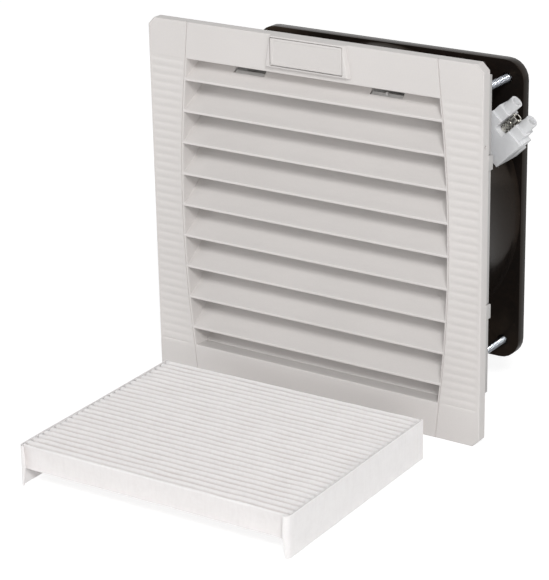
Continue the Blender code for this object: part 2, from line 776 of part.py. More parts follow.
def base_frame():
    flange_half = COVER_HALF - RIM_WALL - GAP
    latches = (-LATCH_SPACING / 2, LATCH_SPACING / 2)
    flange = block((-flange_half, flange_half), (FLANGE_FRONT, FLANGE_BACK),
                   (HINGE_Z + HOOK_CLEARANCE, flange_half))
    collar = block((-COLLAR_OUTER, COLLAR_OUTER), (FLANGE_FRONT + BASE_FLANGE / 2, COLLAR_BACK),
                   (-COLLAR_OUTER, COLLAR_OUTER))
    frame = union(flange, collar)
    frame = cut(frame, block((-COLLAR_INNER, COLLAR_INNER), (FLANGE_FRONT - MM, COLLAR_BACK + MM),
                             (-COLLAR_INNER, COLLAR_INNER)))
    inside = support_grid() + filter_ribs()
    for x, z in corner_places():
        inside.append(rod((x, FILTER_SEAT, z), (x, SUPPORT_BACK, z), BOSS_RADIUS, BOSS_SIDES))
    frame = cut(union(frame, *inside), *[latch_room(x) for x in latches])
    hooks = [piece for x in hinge_places() for piece in hinge_hook(x)]
    frame = union(frame, *[latch_catch(x) for x in latches], *hooks)
    cuts = [rod((x, SCREW_TIP - MM, z), (x, SUPPORT_BACK + MM, z), SCREW_BORE_RADIUS, BORE_SIDES)
            for x, z in corner_places()]
    for x in hinge_places():
        cuts += hinge_hook_cuts(x)
    cuts += [clip_window(side, z) for side in (-1, 1) for z in clip_heights()]
    return cut(frame, *cuts)


def panel_gasket():
    """A foam ring on the flange, just outside the wall's cut-out."""
    inner = CUTOUT_HALF + GASKET_INSET
    outer = inner + GASKET_WIDTH
    front = FLANGE_BACK + GAP
    ring = block((-outer, outer), (front, front + GASKET_THICKNESS), (-outer, outer))
    return cut(ring, block((-inner, inner), (FLANGE_BACK, MM), (-inner, inner)))


def clip_pivot(side, z):
    return Vector((side * (COLLAR_INNER + COLLAR_WALL / 2), COLLAR_BACK - CLIP_ROOT, z))


def panel_clip(side, z):
    """A tongue in the collar wall: its root at the back, its barb behind the cabinet wall."""
    inner = COLLAR_INNER + CLIP_INNER_SETBACK
    face = COLLAR_OUTER - CLIP_FACE_SETBACK
    barb = COLLAR_OUTER + CLIP_BARB
    tab = COLLAR_OUTER + CLIP_TAB
    tab_front = COLLAR_BACK - 2 * CLIP_ROOT
    end = COLLAR_BACK + CLIP_END
    outline = [(inner, WALL_GRIP),
               (face, WALL_GRIP),
               (barb, WALL_GRIP + CLIP_END),
               (barb, WALL_GRIP + CLIP_END + CLIP_BARB_LAND),
               (face, COLLAR_BACK - CLIP_RAMP_END),
               (face, tab_front),
               (tab, tab_front + CLIP_TAB),
               (tab, end),
               (inner, end)]
    half = CLIP_TONGUE_WIDTH / 2
    solid = prism(outline, z - half, z + half, "XY")
    return solid if side > 0 else mirrored(solid)


# Fan

def shroud_shell():
    """The round shroud between the flanges, with a fillet at each flange."""
    core = SHROUD_INNER - MM
    root = SHROUD_OUTER + SHROUD_FILLET
    near = FAN_FRONT + FAN_FLANGE
    profile = [(core, FAN_FRONT + MM),
               (root, FAN_FRONT + MM),
               (root, near),
               (SHROUD_OUTER, near + SHROUD_FILLET_DEPTH),
               (SHROUD_OUTER, REAR_FLANGE_FRONT - SHROUD_FILLET_DEPTH),
               (root, REAR_FLANGE_FRONT),
               (root, FAN_BACK - MM),
               (core, FAN_BACK - MM)]
    return revolve(profile, SHROUD_STEPS)


def air_passage():
    """The round way through the fan, opening out at both ends."""
    flare = SHROUD_INNER + SHROUD_FLARE
    bend = SHROUD_INNER + SHROUD_FLARE * FLARE_BEND
    half = SHROUD_FLARE_DEPTH / 2
    profile = [(0, FAN_FRONT - MM),
               (flare, FAN_FRONT - MM),
               (flare, FAN_FRONT),
               (bend, FAN_FRONT + half),
               (SHROUD_INNER, FAN_FRONT + SHROUD_FLARE_DEPTH),
               (SHROUD_INNER, FAN_BACK - SHROUD_FLARE_DEPTH),
               (bend, FAN_BACK - half),
               (flare, FAN_BACK),
               (flare, FAN_BACK + MM),
               (0, FAN_BACK + MM)]
    return revolve(profile, SHROUD_STEPS)


def disc(radius, front, back, steps=DISC_STEPS):
    return revolve([(0, front), (radius, front), (radius, back), (0, back)], steps)


def strut(angle, width):
    reach = SHROUD_INNER + SHROUD_WALL / 2
    return turned(block((0, reach), (FAN_BACK - STRUT_DEPTH, FAN_BACK), (-width / 2, width / 2)), -angle)


def wire_channel():
    """The groove that leads the fan's wires out along the wide strut."""
    half = WIRE_STRUT_WIDTH / 2 - STRUT_WALL
    floor = FAN_BACK - STRUT_DEPTH + CHANNEL_FLOOR
    groove = block((MOTOR_PLATE_RADIUS, SHROUD_INNER + CHANNEL_LAP), (floor, FAN_BACK + MM), (-half, half))
    return turned(groove, -WIRE_STRUT_ANGLE)


def fan_frame():
    outline = square(FAN_SIZE / 2, FAN_CORNER_RADIUS, CORNER_STEPS)
    front_flange = prism(outline, FAN_FRONT, FAN_FRONT + FAN_FLANGE)
    rear_flange = prism(outline, REAR_FLANGE_FRONT, FAN_BACK)
    holes = [rod((x, FAN_FRONT - MM, z), (x, FAN_BACK + MM, z), FAN_HOLE_RADIUS, HOLE_SIDES)
             for x, z in corner_places()]
    frame = cut(union(front_flange, rear_flange, shroud_shell()), air_passage(), *holes)
    struts = [strut(angle, STRUT_WIDTH) for angle in STRUT_ANGLES]
    struts.append(strut(WIRE_STRUT_ANGLE, WIRE_STRUT_WIDTH))
    plate = disc(MOTOR_PLATE_RADIUS, PLATE_FRONT, FAN_BACK)
    tube = disc(TUBE_OUTER, TUBE_FRONT, FAN_BACK - MM, TUBE_STEPS)
    frame = union(frame, plate, tube, *struts)
    return cut(frame, disc(TUBE_INNER, TUBE_FRONT - MM, FAN_BACK + MM, TUBE_STEPS), wire_channel())


def blade(number):
    """One blade: stations from hub to tip, each a thin cambered section set at its pitch."""
    root = SLEEVE_OUTER - SLEEVE_WALL / 2
    middle_y = (HUB_FRONT + SLEEVE_BACK) / 2 - MM
    sections = []
    for j in range(BLADE_RADIAL_STEPS + 1):
        share = j / BLADE_RADIAL_STEPS
        radius = root + (BLADE_TIP_RADIUS - root) * share
        chord = BLADE_HUB_CHORD + (BLADE_TIP_CHORD - BLADE_HUB_CHORD) * share
        pitch = math.radians(BLADE_HUB_PITCH + (BLADE_TIP_PITCH - BLADE_HUB_PITCH) * share)
        upper = []
        lower = []
        for i in range(BLADE_CHORD_STEPS + 1):
            t = i / BLADE_CHORD_STEPS
            along = chord * (t - 0.5)
            arch = BLADE_CAMBER * 4 * t * (1 - t)
            fullness = BLADE_EDGE_SHARE + (1 - BLADE_EDGE_SHARE) * math.sin(math.pi * t)
            half = BLADE_THICKNESS / 2 * fullness
            for side, row in ((half, upper), (-half, lower)):
                lift = arch + side
                around = along * math.cos(pitch) - lift * math.sin(pitch)
                y = middle_y + along * math.sin(pitch) + lift * math.cos(pitch)
                angle = around / radius + math.tau * number / BLADE_COUNT
                row.append(Vector((radius * math.cos(angle), y, radius * math.sin(angle))))
        sections.append(upper + lower[::-1])
    return loft(sections)


def impeller():
    profile = [(0, HUB_FRONT),
               (SLEEVE_OUTER - HUB_BEVEL, HUB_FRONT),
               (SLEEVE_OUTER, HUB_FRONT + HUB_BEVEL),
               (SLEEVE_OUTER, SLEEVE_BACK),
               (SLEEVE_INNER, SLEEVE_BACK),
               (SLEEVE_INNER, HUB_FRONT + SLEEVE_WALL),
               (0, HUB_FRONT + SLEEVE_WALL)]
    return union(revolve(profile, SLEEVE_STEPS), *[blade(number) for number in range(BLADE_COUNT)])


def rotor_cup():
    boss_back = FRONT_BEARING_FRONT - WASHER_HEIGHT - 2 * GAP
    bore = SHAFT_RADIUS + GAP
    floor = ROTOR_FRONT + ROTOR_WALL
    profile = [(bore, ROTOR_FRONT),
               (ROTOR_OUTER, ROTOR_FRONT),
               (ROTOR_OUTER, ROTOR_BACK),
               (ROTOR_INNER, ROTOR_BACK),
               (ROTOR_INNER, floor),
               (ROTOR_BOSS_RADIUS, floor),
               (ROTOR_BOSS_RADIUS, boss_back),
               (bore, boss_back)]
    return revolve(profile, CUP_STEPS)


def rotor_shaft():
    groove = SHAFT_RADIUS - GROOVE_DEPTH
    groove_front = REAR_BEARING_BACK + GAP
    groove_back = groove_front + CLIP_WIDTH + 2 * GROOVE_PLAY
    profile = [(0, ROTOR_FRONT),
               (SHAFT_RADIUS, ROTOR_FRONT),
               (SHAFT_RADIUS, groove_front),
               (groove, groove_front),
               (groove, groove_back),
               (SHAFT_RADIUS, groove_back),
               (SHAFT_RADIUS, SHAFT_BACK),
               (0, SHAFT_BACK)]
    return revolve(profile, SHAFT_STEPS)


def shaft_clip():
    """A retaining ring in the shaft's groove, open on one side."""
    front = REAR_BEARING_BACK + GAP + GROOVE_PLAY
    inner = SHAFT_RADIUS - GROOVE_DEPTH + GAP
    ring = revolve(tube_profile(inner, CLIP_RADIUS, front, front + CLIP_WIDTH), SHAFT_STEPS)
    return cut(ring, block((0, CLIP_RADIUS + MM), (front - MM, front + 2 * MM), (-CLIP_MOUTH, CLIP_MOUTH)))


def bearing(front):
    """A ball bearing's rings with the race gap sunk on both faces."""
    bore = SHAFT_RADIUS + GAP
    back = front + BEARING_WIDTH
    inner_edge = bore + RACE_WALL
    outer_edge = BEARING_RADIUS - RACE_WALL
    profile = [(bore, front),
               (inner_edge, front),
               (inner_edge, front + RACE_SINK),
               (outer_edge, front + RACE_SINK),
               (outer_edge, front),
               (BEARING_RADIUS, front),
               (BEARING_RADIUS, back),
               (outer_edge, back),
               (outer_edge, back - RACE_SINK),
               (inner_edge, back - RACE_SINK),
               (inner_edge, back),
               (bore, back)]
    return revolve(profile, BEARING_STEPS)


def preload_washer():
    front = FRONT_BEARING_FRONT - GAP - WASHER_HEIGHT
    bore = SHAFT_RADIUS + GAP
    return revolve(tube_profile(bore, bore + WASHER_RING, front, front + WASHER_HEIGHT), SHAFT_STEPS)


def stator_core():
    core = revolve(tube_profile(TUBE_OUTER + GAP, CORE_RADIUS, CORE_FRONT, CORE_BACK), CORE_STEPS)
    slots = []
    for number in range(CORE_SLOTS):
        depth = (CORE_FRONT - MM, CORE_BACK + MM)
        slot = block((WINDING_INNER - MM, WINDING_OUTER + SLOT_PLAY), depth, (-SLOT_WIDTH / 2, SLOT_WIDTH / 2))
        mouth = block((WINDING_OUTER, CORE_RADIUS + MM), depth, (-SLOT_MOUTH / 2, SLOT_MOUTH / 2))
        angle = FIRST_SLOT + 360 * number / CORE_SLOTS
        slots += [turned(slot, angle), turned(mouth, angle)]
    return cut(core, *slots)


def stator_winding():
    """Coil heads on both ends of the core, joined by the coil sides in its slots."""
    front_profile = tube_profile(WINDING_INNER, WINDING_OUTER, WINDING_FRONT, CORE_FRONT - GAP)
    back_profile = tube_profile(WINDING_INNER, WINDING_OUTER, CORE_BACK + GAP, WINDING_BACK)
    sides = []
    for number in range(CORE_SLOTS):
        side = block((WINDING_INNER, WINDING_OUTER - MM), (WINDING_FRONT + MM, WINDING_BACK - MM),
                     (-SLOT_WIDTH / 2 + 2 * GAP, SLOT_WIDTH / 2 - 2 * GAP))
        sides.append(turned(side, FIRST_SLOT + 360 * number / CORE_SLOTS))
    return union(revolve(front_profile, WINDING_STEPS), revolve(back_profile, WINDING_STEPS), *sides)


def finger_guard():
    """Rings on two crossed wires, with an eye for each fan screw."""
    leg_y = FAN_BACK + GAP + GUARD_WIRE / 2
    ring_y = leg_y + GUARD_STEP
    eye_outer = SCREW_RADIUS + GAP + GUARD_WIRE
    rings = [SHROUD_INNER * share for share in GUARD_RING_SHARES]
    guard = wire_ring(rings[0], ring_y, GUARD_WIRE, FIRST_RING_STEPS)
    pieces = [wire_ring(radius, ring_y, GUARD_WIRE) for radius in rings[1:]]
    eye_profile = tube_profile(SCREW_RADIUS + GAP, eye_outer, FAN_BACK + GAP, GUARD_BACK)
    leg_start = rings[0] - GUARD_WIRE
    leg_end = HOLE_OFFSET * math.sqrt(2) - SCREW_RADIUS - 2 * GAP
    for x, z in corner_places():
        pieces.append(shifted(revolve(eye_profile, EYE_STEPS), (x, 0, z)))
        unit = Vector((x, 0, z)).normalized()
        depth = Vector((0, leg_y, 0))
        pieces.append(rod(unit * leg_start + depth, unit * leg_end + depth, GUARD_WIRE / 2, LEG_SIDES))
    return union(guard, *pieces)


def fan_screw(x, z):
    """A pan-head screw from the back, through both fan flanges into the base frame."""
    head_back = SCREW_SEAT + SCREW_HEAD_HEIGHT
    profile = [(0, SCREW_TIP),
               (SCREW_RADIUS * SCREW_TAPER, SCREW_TIP),
               (SCREW_RADIUS, SCREW_TIP + MM),
               (SCREW_RADIUS, SCREW_SEAT),
               (SCREW_HEAD_RADIUS, SCREW_SEAT),
               (SCREW_HEAD_RADIUS, head_back - SCREW_HEAD_CROWN),
               (SCREW_HEAD_RADIUS * SCREW_TAPER, head_back),
               (0, head_back)]
    screw = revolve(profile, SCREW_STEPS)
    arm = SCREW_RECESS / 2
    half = SCREW_RECESS_WIDTH / 2
    depth = (head_back - SCREW_RECESS_DEPTH, head_back + MM)
    recess = [block((-arm, arm), depth, (-half, half)), block((-half, half), depth, (-arm, arm))]
    return shifted(cut(screw, *recess), (x, 0, z))


# Terminal block, drawn flat with its wire entries along +X and its poles stacked down -Z

def on_fan(solid):
    """Tilt a terminal piece and move its upper pole's tip to the fan's upper right corner."""
    tilt = math.radians(TERMINAL_TILT)
    along = SHROUD_OUTER + TERMINAL_REACH
    tip_x = along * math.cos(tilt) + TERMINAL_OFFSET * math.sin(tilt)
    tip_z = along * math.sin(tilt) - TERMINAL_OFFSET * math.cos(tilt)
    return shifted(turned(solid, -TERMINAL_TILT), (tip_x, 0, tip_z))


def shroud_space():
    """The round shroud with its rear fillet, grown by the gap: what sits on the fan is hollowed to it."""
    plain = SHROUD_OUTER + GAP
    root = plain + SHROUD_FILLET
    fillet_back = REAR_FLANGE_FRONT - GAP
    profile = [(0, COLLAR_BACK),
               (plain, COLLAR_BACK),
               (plain, fillet_back - SHROUD_FILLET_DEPTH),
               (root, fillet_back),
               (root, FAN_BACK),
               (0, FAN_BACK)]
    return revolve(profile, SHROUD_STEPS)


def terminal_back():
    return REAR_FLANGE_FRONT - GAP - BRACKET_THICKNESS - GAP


def terminal_middle():
    return terminal_back() - TERMINAL_THICKNESS / 2


def terminal_bottom():
    return -2 * POLE_PITCH - TERMINAL_FOOT


def pole_drops():
    return (0.0, -2 * POLE_PITCH)


def body_root():
    return -POLE_TUBE_LENGTH - POLE_SHOULDER


def terminal_rod(start, end, drop, radius, sides=16):
    """A round bar along the wire entries, at the middle of the block."""
    middle = terminal_middle()
    return rod((start, middle, drop), (end, middle, drop), radius, sides)


def terminal_body():
    back = terminal_back()
    front = back - TERMINAL_THICKNESS
    middle = terminal_middle()
    bottom = terminal_bottom()
    root = body_root()
    body = block((root - TERMINAL_LENGTH, root), (front, back), (bottom, TERMINAL_MARGIN))
    added = []
    for drop in pole_drops():
        added.append(block((root - MM, -POLE_TUBE_LENGTH), (front + SHOULDER_STEP, back - SHOULDER_STEP),
                           (drop - SHOULDER_HALF, drop + SHOULDER_HALF)))
        added.append(terminal_rod(-POLE_TUBE_LENGTH - MM, 0, drop, POLE_TUBE_RADIUS, POLE_SIDES))
    added.append(block((root - MM, root + TERMINAL_LIP), (front + LIP_STEP, back - LIP_STEP),
                       (bottom, bottom + LIP_HEIGHT)))
    body = union(body, *added)
    cuts = [terminal_rod(root - POLE_BORE_DEPTH, MM, drop, POLE_BORE_RADIUS) for drop in pole_drops()]
    earth_half = EARTH_CLAMP_RADIUS + GAP
    cuts.append(block((root - EARTH_CLAMP_SINK - GAP, MM), (front - MM, middle + earth_half),
                      (-POLE_PITCH - earth_half, -POLE_PITCH + earth_half)))
    way_radius = CLAMP_SCREW_RADIUS + GAP
    for along, drop in clamp_screw_places():
        cuts.append(rod((along, middle, drop), (along, back + MM, drop), way_radius, SCREW_STEPS))
    return cut(on_fan(cut(body, *cuts)), shroud_space())


def clamp_screw_places():
    root = body_root()
    return ((root - CLAMP_SCREW_SETBACK, 0.0),
            (root - CLAMP_SCREW_SETBACK, -2 * POLE_PITCH),
            (root - GAP, -POLE_PITCH))


def pole_clamp(drop):
    back = body_root() - POLE_BORE_DEPTH + MM
    outer = POLE_BORE_RADIUS - GAP
    tube = terminal_rod(back, -POLE_TUBE_LENGTH + MM, drop, outer)
    return cut(tube, terminal_rod(back - MM, 0, drop, outer - CLAMP_WALL, POLE_CLAMP_BORE_SIDES))


def earth_clamp():
    """The bare middle clamp: a metal sleeve with turned rings."""
    end = body_root() - EARTH_CLAMP_SINK
    tip = end + EARTH_CLAMP_LENGTH
    bore = EARTH_CLAMP_RADIUS - EARTH_CLAMP_WALL
    sleeve = terminal_rod(end, tip, -POLE_PITCH, EARTH_CLAMP_RADIUS, CLAMP_SIDES)
    cuts = [terminal_rod(end + MM, tip + MM, -POLE_PITCH, bore, CLAMP_BORE_SIDES)]
    for number in range(EARTH_RINGS):
        x = end + EARTH_RING_START + EARTH_RING_PITCH * number
        outer = terminal_rod(x, x + EARTH_RING_WIDTH, -POLE_PITCH, EARTH_CLAMP_RADIUS + MM, CLAMP_SIDES)
        inner = terminal_rod(x - MM, x + 2 * MM, -POLE_PITCH, EARTH_CLAMP_RADIUS - GAP, CLAMP_SIDES)
        cuts.append(cut(outer, inner))
    return cut(sleeve, *cuts)


def clamp_screw(along, drop):
    """A short slotted screw from the back, ending just off its clamp."""
    head_back = terminal_back() - CLAMP_SCREW_SINK
    is_earth = drop == -POLE_PITCH
    seat = EARTH_CLAMP_RADIUS if is_earth else POLE_BORE_RADIUS - GAP
    front = terminal_middle() + seat + GAP
    screw = rod((along, front, drop), (along, head_back, drop), CLAMP_SCREW_RADIUS, SCREW_STEPS)
    slot = block((along - 2 * MM, along + 2 * MM), (head_back - CLAMP_SLOT_DEPTH, head_back + MM),
                 (drop - CLAMP_SLOT_WIDTH / 2, drop + CLAMP_SLOT_WIDTH / 2))
    return cut(screw, slot)


def terminal_bracket():
    """The foot between the block and the fan's rear flange, hollowed to the round shroud."""
    front = terminal_back() + GAP
    back = front + BRACKET_THICKNESS
    root = body_root()
    foot = block((root - TERMINAL_LENGTH, root - BRACKET_SETBACK), (front, back),
                 (terminal_bottom(), TERMINAL_MARGIN))
    return cut(on_fan(foot), shroud_space())


# Filter mat, lying on the plane of the cover's lower edge

def on_floor(solid):
    """Turn the mat a little and move it to its place in front of the cover."""
    turn = Matrix.Rotation(math.radians(FILTER_TURN), 3, "Z")
    bmesh.ops.rotate(solid, verts=solid.verts, cent=(0, 0, 0), matrix=turn)
    return shifted(solid, (FILTER_SHIFT, FILTER_BACK_Y, 0))


def filter_pleats():
    """A zigzag sheet with its folds along X and an upright end leaf at front and back."""
    top = FILTER_TOP
    bottom = FILTER_TOP - FILTER_PACK
    pitch = FILTER_LENGTH / FILTER_PLEATS
    upper = []
    lower = []
    for number in range(2 * FILTER_PLEATS + 1):
        y = -pitch * number / 2
        ridge = number % 2 == 0
        upper.append((y, top if ridge else bottom + FILTER_PAPER))
        lower.append((y, top - FILTER_PAPER if ridge else bottom))
    leaf = FILTER_LEAF
    leaf_top = top - FILTER_FOLD
    upper[0] = (0.0, top)
    upper[-1] = (-FILTER_LENGTH, top)
    lower[0] = (0.0, bottom)
    lower[-1] = (-FILTER_LENGTH, bottom)
    lower.insert(1, (-leaf, bottom))
    lower.insert(2, (-leaf, leaf_top))
    lower.insert(-1, (-FILTER_LENGTH + leaf, leaf_top))
    lower.insert(-1, (-FILTER_LENGTH + leaf, bottom))
    half = FILTER_WIDTH / 2 - FILTER_BAND - GAP
    return on_floor(prism(upper + lower[::-1], -half, half, "YZ"))


def filter_band(side):
    x_range = sorted((side * (FILTER_WIDTH / 2 - FILTER_BAND), side * FILTER_WIDTH / 2))
    y_range = (-FILTER_LENGTH - FILTER_BAND_REACH, FILTER_BAND_END)
    return on_floor(block(x_range, y_range, (FLOOR_Z, FILTER_TOP)))


def build():
    clear_scene()
    plastic = material("light_grey_plastic", (0.68, 0.66, 0.645), 0.45)
    inner_plastic = material("grey_base_plastic", (0.62, 0.61, 0.60), 0.5)
    black = material("black_coated_casting", (0.012, 0.012, 0.013), 0.28, 0.2)
    blade_black = material("black_blade_plastic", (0.018, 0.018, 0.02), 0.4)
    foam = material("gasket_foam", (0.05, 0.05, 0.05), 0.9)
    steel = material("zinc_plated_steel", (0.62, 0.64, 0.68), 0.3, 1.0)
    core_steel = material("core_lamination", (0.25, 0.25, 0.26), 0.5, 1.0)
    copper = material("copper_winding", (0.55, 0.24, 0.1), 0.4, 0.8)
    brass = material("nickel_brass", (0.55, 0.50, 0.36), 0.35, 1.0)
    clear = material("pale_terminal_plastic", (0.66, 0.66, 0.67), 0.35)
    fleece = material("white_filter_fleece", (0.88, 0.86, 0.85), 0.9)

    cover_axis = axis_empty("cover_hinge_axis", HINGE_POINT)
    fan_axis = axis_empty("fan_axis", Vector((0, (FAN_FRONT + FAN_BACK) / 2, 0)))
    mat_place = axis_empty("filter_mat_place", Vector((FILTER_SHIFT, FILTER_BACK_Y, FLOOR_Z)))

    make_piece("front_grille", front_grille(), plastic, cover_axis)
    make_piece("badge_plate", badge_plate(), plastic, cover_axis)
    for name, x in (("latch_left", -LATCH_SPACING / 2), ("latch_right", LATCH_SPACING / 2)):
        make_piece(name, latch_tongue(x), inner_plastic, origin=latch_pivot(x))

    make_piece("base_frame", base_frame(), inner_plastic)
    make_piece("panel_gasket", panel_gasket(), foam)
    for side, word in ((-1, "left"), (1, "right")):
        for height, z in zip(("lower", "upper"), clip_heights()):
            make_piece("panel_clip_" + word + "_" + height, panel_clip(side, z), inner_plastic,
                       origin=clip_pivot(side, z))

    make_piece("fan_frame", fan_frame(), black, round_form=True)
    make_piece("impeller", impeller(), blade_black, fan_axis, round_form=True)
    make_piece("rotor_cup", rotor_cup(), core_steel, fan_axis, round_form=True)
    make_piece("rotor_shaft", rotor_shaft(), steel, fan_axis, round_form=True)
    make_piece("shaft_clip", shaft_clip(), steel, fan_axis, round_form=True)
    make_piece("bearing_front", bearing(FRONT_BEARING_FRONT), steel, round_form=True)
    make_piece("bearing_rear", bearing(REAR_BEARING_FRONT), steel, round_form=True)
    make_piece("preload_washer", preload_washer(), steel, round_form=True)
    make_piece("stator_core", stator_core(), core_steel, round_form=True)
    make_piece("stator_winding", stator_winding(), copper, round_form=True)
    make_piece("finger_guard", finger_guard(), steel, round_form=True)
    for word, (x, z) in zip(("lower_left", "upper_left", "lower_right", "upper_right"), corner_places()):
        make_piece("fan_screw_" + word, fan_screw(x, z), steel, round_form=True)

    make_piece("terminal_bracket", terminal_bracket(), clear)
    make_piece("terminal_body", terminal_body(), clear, round_form=True)
    for word, drop in zip(("upper", "lower"), pole_drops()):
        make_piece("pole_clamp_" + word, on_fan(pole_clamp(drop)), brass, round_form=True)
    make_piece("earth_clamp", on_fan(earth_clamp()), brass, round_form=True)
    for word, (along, drop) in zip(("upper", "lower", "earth"), clamp_screw_places()):
        make_piece("clamp_screw_" + word, on_fan(clamp_screw(along, drop)), steel, round_form=True)

    make_piece("filter_pleats", filter_pleats(), fleece, mat_place)
    make_piece("filter_band_left", filter_band(-1), fleece, mat_place)
    make_piece("filter_band_right", filter_band(1), fleece, mat_place)


build()
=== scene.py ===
"""Cabinet filter fan: louvred cover, fan, terminal block and filter mat with their real finishes."""
import math

import bpy
from mathutils import Matrix, Vector, noise


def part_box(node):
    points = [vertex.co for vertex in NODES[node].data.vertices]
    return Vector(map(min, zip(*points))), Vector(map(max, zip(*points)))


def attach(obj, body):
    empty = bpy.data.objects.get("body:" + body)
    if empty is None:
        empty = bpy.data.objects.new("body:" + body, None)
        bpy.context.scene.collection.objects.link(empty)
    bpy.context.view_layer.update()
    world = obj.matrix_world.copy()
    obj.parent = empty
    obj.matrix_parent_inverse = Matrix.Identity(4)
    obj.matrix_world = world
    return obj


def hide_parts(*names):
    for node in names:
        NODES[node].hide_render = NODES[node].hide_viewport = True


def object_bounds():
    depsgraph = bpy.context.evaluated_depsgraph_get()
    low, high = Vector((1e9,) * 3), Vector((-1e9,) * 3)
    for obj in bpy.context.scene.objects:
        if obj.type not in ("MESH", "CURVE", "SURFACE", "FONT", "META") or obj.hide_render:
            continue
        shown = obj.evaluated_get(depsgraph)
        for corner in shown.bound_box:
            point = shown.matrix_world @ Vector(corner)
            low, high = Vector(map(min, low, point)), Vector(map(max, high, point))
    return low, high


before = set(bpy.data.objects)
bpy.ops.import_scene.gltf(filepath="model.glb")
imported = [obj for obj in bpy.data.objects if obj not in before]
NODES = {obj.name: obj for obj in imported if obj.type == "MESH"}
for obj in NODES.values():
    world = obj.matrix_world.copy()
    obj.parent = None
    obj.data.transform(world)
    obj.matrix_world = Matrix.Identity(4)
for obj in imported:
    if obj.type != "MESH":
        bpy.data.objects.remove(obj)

bl_info = {
    "name": "Cabinet filter fan",
    "version": (1, 0, 0),
    "blender": (4, 5, 0),
    "location": "3D View > Sidebar > Filter fan",
    "description": "Models and finishes the pieces of a cabinet filter fan around its packed solids",
    "category": "Object",
}

MM = 0.001
CAD_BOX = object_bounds()
DONE = {"FINISHED"}

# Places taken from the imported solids
COVER_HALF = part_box("front_grille")[1][0]
BADGE_LOW, BADGE_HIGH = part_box("badge_plate")
FLOOR_Z = CAD_BOX[0][2]
GUARD_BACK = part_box("finger_guard")[1][1]

# Camera fitted to the photograph's view
CAMERA_PLACE = (0.43105, -0.65932, 0.27147)
CAMERA_AZIMUTH = 34.391
CAMERA_ELEVATION = 20.666
CAMERA_ROLL = 1.18
CAMERA_LENS = 137.774
CAMERA_SENSOR = 36.0

# Light: the share of the room's light that comes from straight above, the floor's own light as the
# object and the camera see it, and each lamp's name, place, size and share of the key light's power
OVERHEAD = 0.35
FLOOR_GLOW = 0.35
FLOOR_GLOW_SEEN = 0.82
LAMPS = (("key_lamp", (0.8, -1.0, 1.0), 0.45, 1.0),
         ("low_lamp", (1.2, -1.1, 0.08), 0.6, 0.3),
         ("left_lamp", (-1.0, -1.1, 0.4), 0.9, 0.27))

# Louvred cover
FACE_Y = -5.0 * MM
RIM_BACK_Y = -0.5 * MM
DUCT_BACK_Y = 5.5 * MM
CHAMFER = 2.75 * MM
PANEL_STEP = 0.12 * MM
PLATE_BACK_Y = -3.5 * MM
RIM_WALL = 2.0 * MM
DUCT_WALL = 1.2 * MM
DUCT_DRAFT = 1.2 * MM
OPENING_TOP = 58.15 * MM
OPENING_HALF = 58.5 * MM
OPENING_BULGE = 3.6 * MM
BAR_TAPER = 0.1
FROM_OPENING = (0.0, 0.5 * MM, 0.6 * MM, 0.82 * MM, 0.92 * MM, DUCT_WALL, 2.0 * MM)
CREASE_STEPS = (2, 3)
CREASE_DEPTH = 0.45 * MM
ACROSS_PANEL = (0.3, 0.5, 0.7)
FROM_RIM = (2.9 * MM, RIM_WALL, 1.3 * MM, 0.8 * MM, 0.4 * MM, 0.0)
BAR_LINES = (0.55 * MM, DUCT_WALL, 5.0 * MM, 11.6 * MM, COVER_HALF - RIM_WALL - OPENING_TOP,
             COVER_HALF - 0.8 * MM - OPENING_TOP, COVER_HALF - 0.4 * MM - OPENING_TOP,
             COVER_HALF - OPENING_TOP)
RIPPLE_TOP = 57.05 * MM
RIPPLE_ROWS = 6
RIPPLE_POWER = 5
RIPPLE_INNER = 0.9 * MM
RIPPLE_INNER_FADE = 1.6 * MM
RIPPLE_OUTER = 0.7 * MM
RIPPLE_OUTER_FADE = 1.0 * MM

# Limits for choosing faces and edges of the cover
FLAT_LIMIT = 0.9
LONG_EDGE = 50.0 * MM
FACE_ROOM = 0.5 * MM
FACE_RUN = 0.3 * MM
NEAR = 0.02 * MM
CLOSE = 0.01 * MM

# Slats
SLAT_COUNT = 9
SLAT_DEPTH = DUCT_BACK_Y - FACE_Y
SLAT_PITCH = 12.6 * MM
SLAT_RISE = 10.3 * MM
SLAT_NOSE = 0.9 * MM
SLAT_WALL = 2.0 * MM
SLAT_FULL_SHARE = 0.3
SLAT_SLOPE = 0.68
SLAT_CURVE = 0.32
SLAT_EDGE = 0.26 * MM
SLAT_SETBACK = 0.05 * MM
SLAT_LENGTH = 120.0 * MM
SLAT_REACH = 0.9 * MM
SLAT_LAP = 0.7 * MM
SLAT_STATIONS = (0.06, 0.12, 0.2, 0.3, 0.42, 0.56, 0.7, 0.85, 1.0)
FIRST_SLAT_Z = 49.55 * MM
ROOM_HALF = 70.0 * MM

# Badge boss and its bare plate
BOSS_FOOT_Z = 59.6 * MM
BOSS_TOP_SETBACK = 0.02 * MM
BOSS_TOP_HALF = 16.75 * MM
BOSS_FOOT_HALF = 18.75 * MM
BOSS_SLOPE = 1.08 * MM
BOSS_SINK = 0.7 * MM
BOSS_EDGE = 0.35 * MM
BADGE_GAP = 0.3 * MM
BADGE_FRAME = 0.9 * MM
BADGE_STEP = 0.15 * MM
BADGE_EDGE = 0.25 * MM

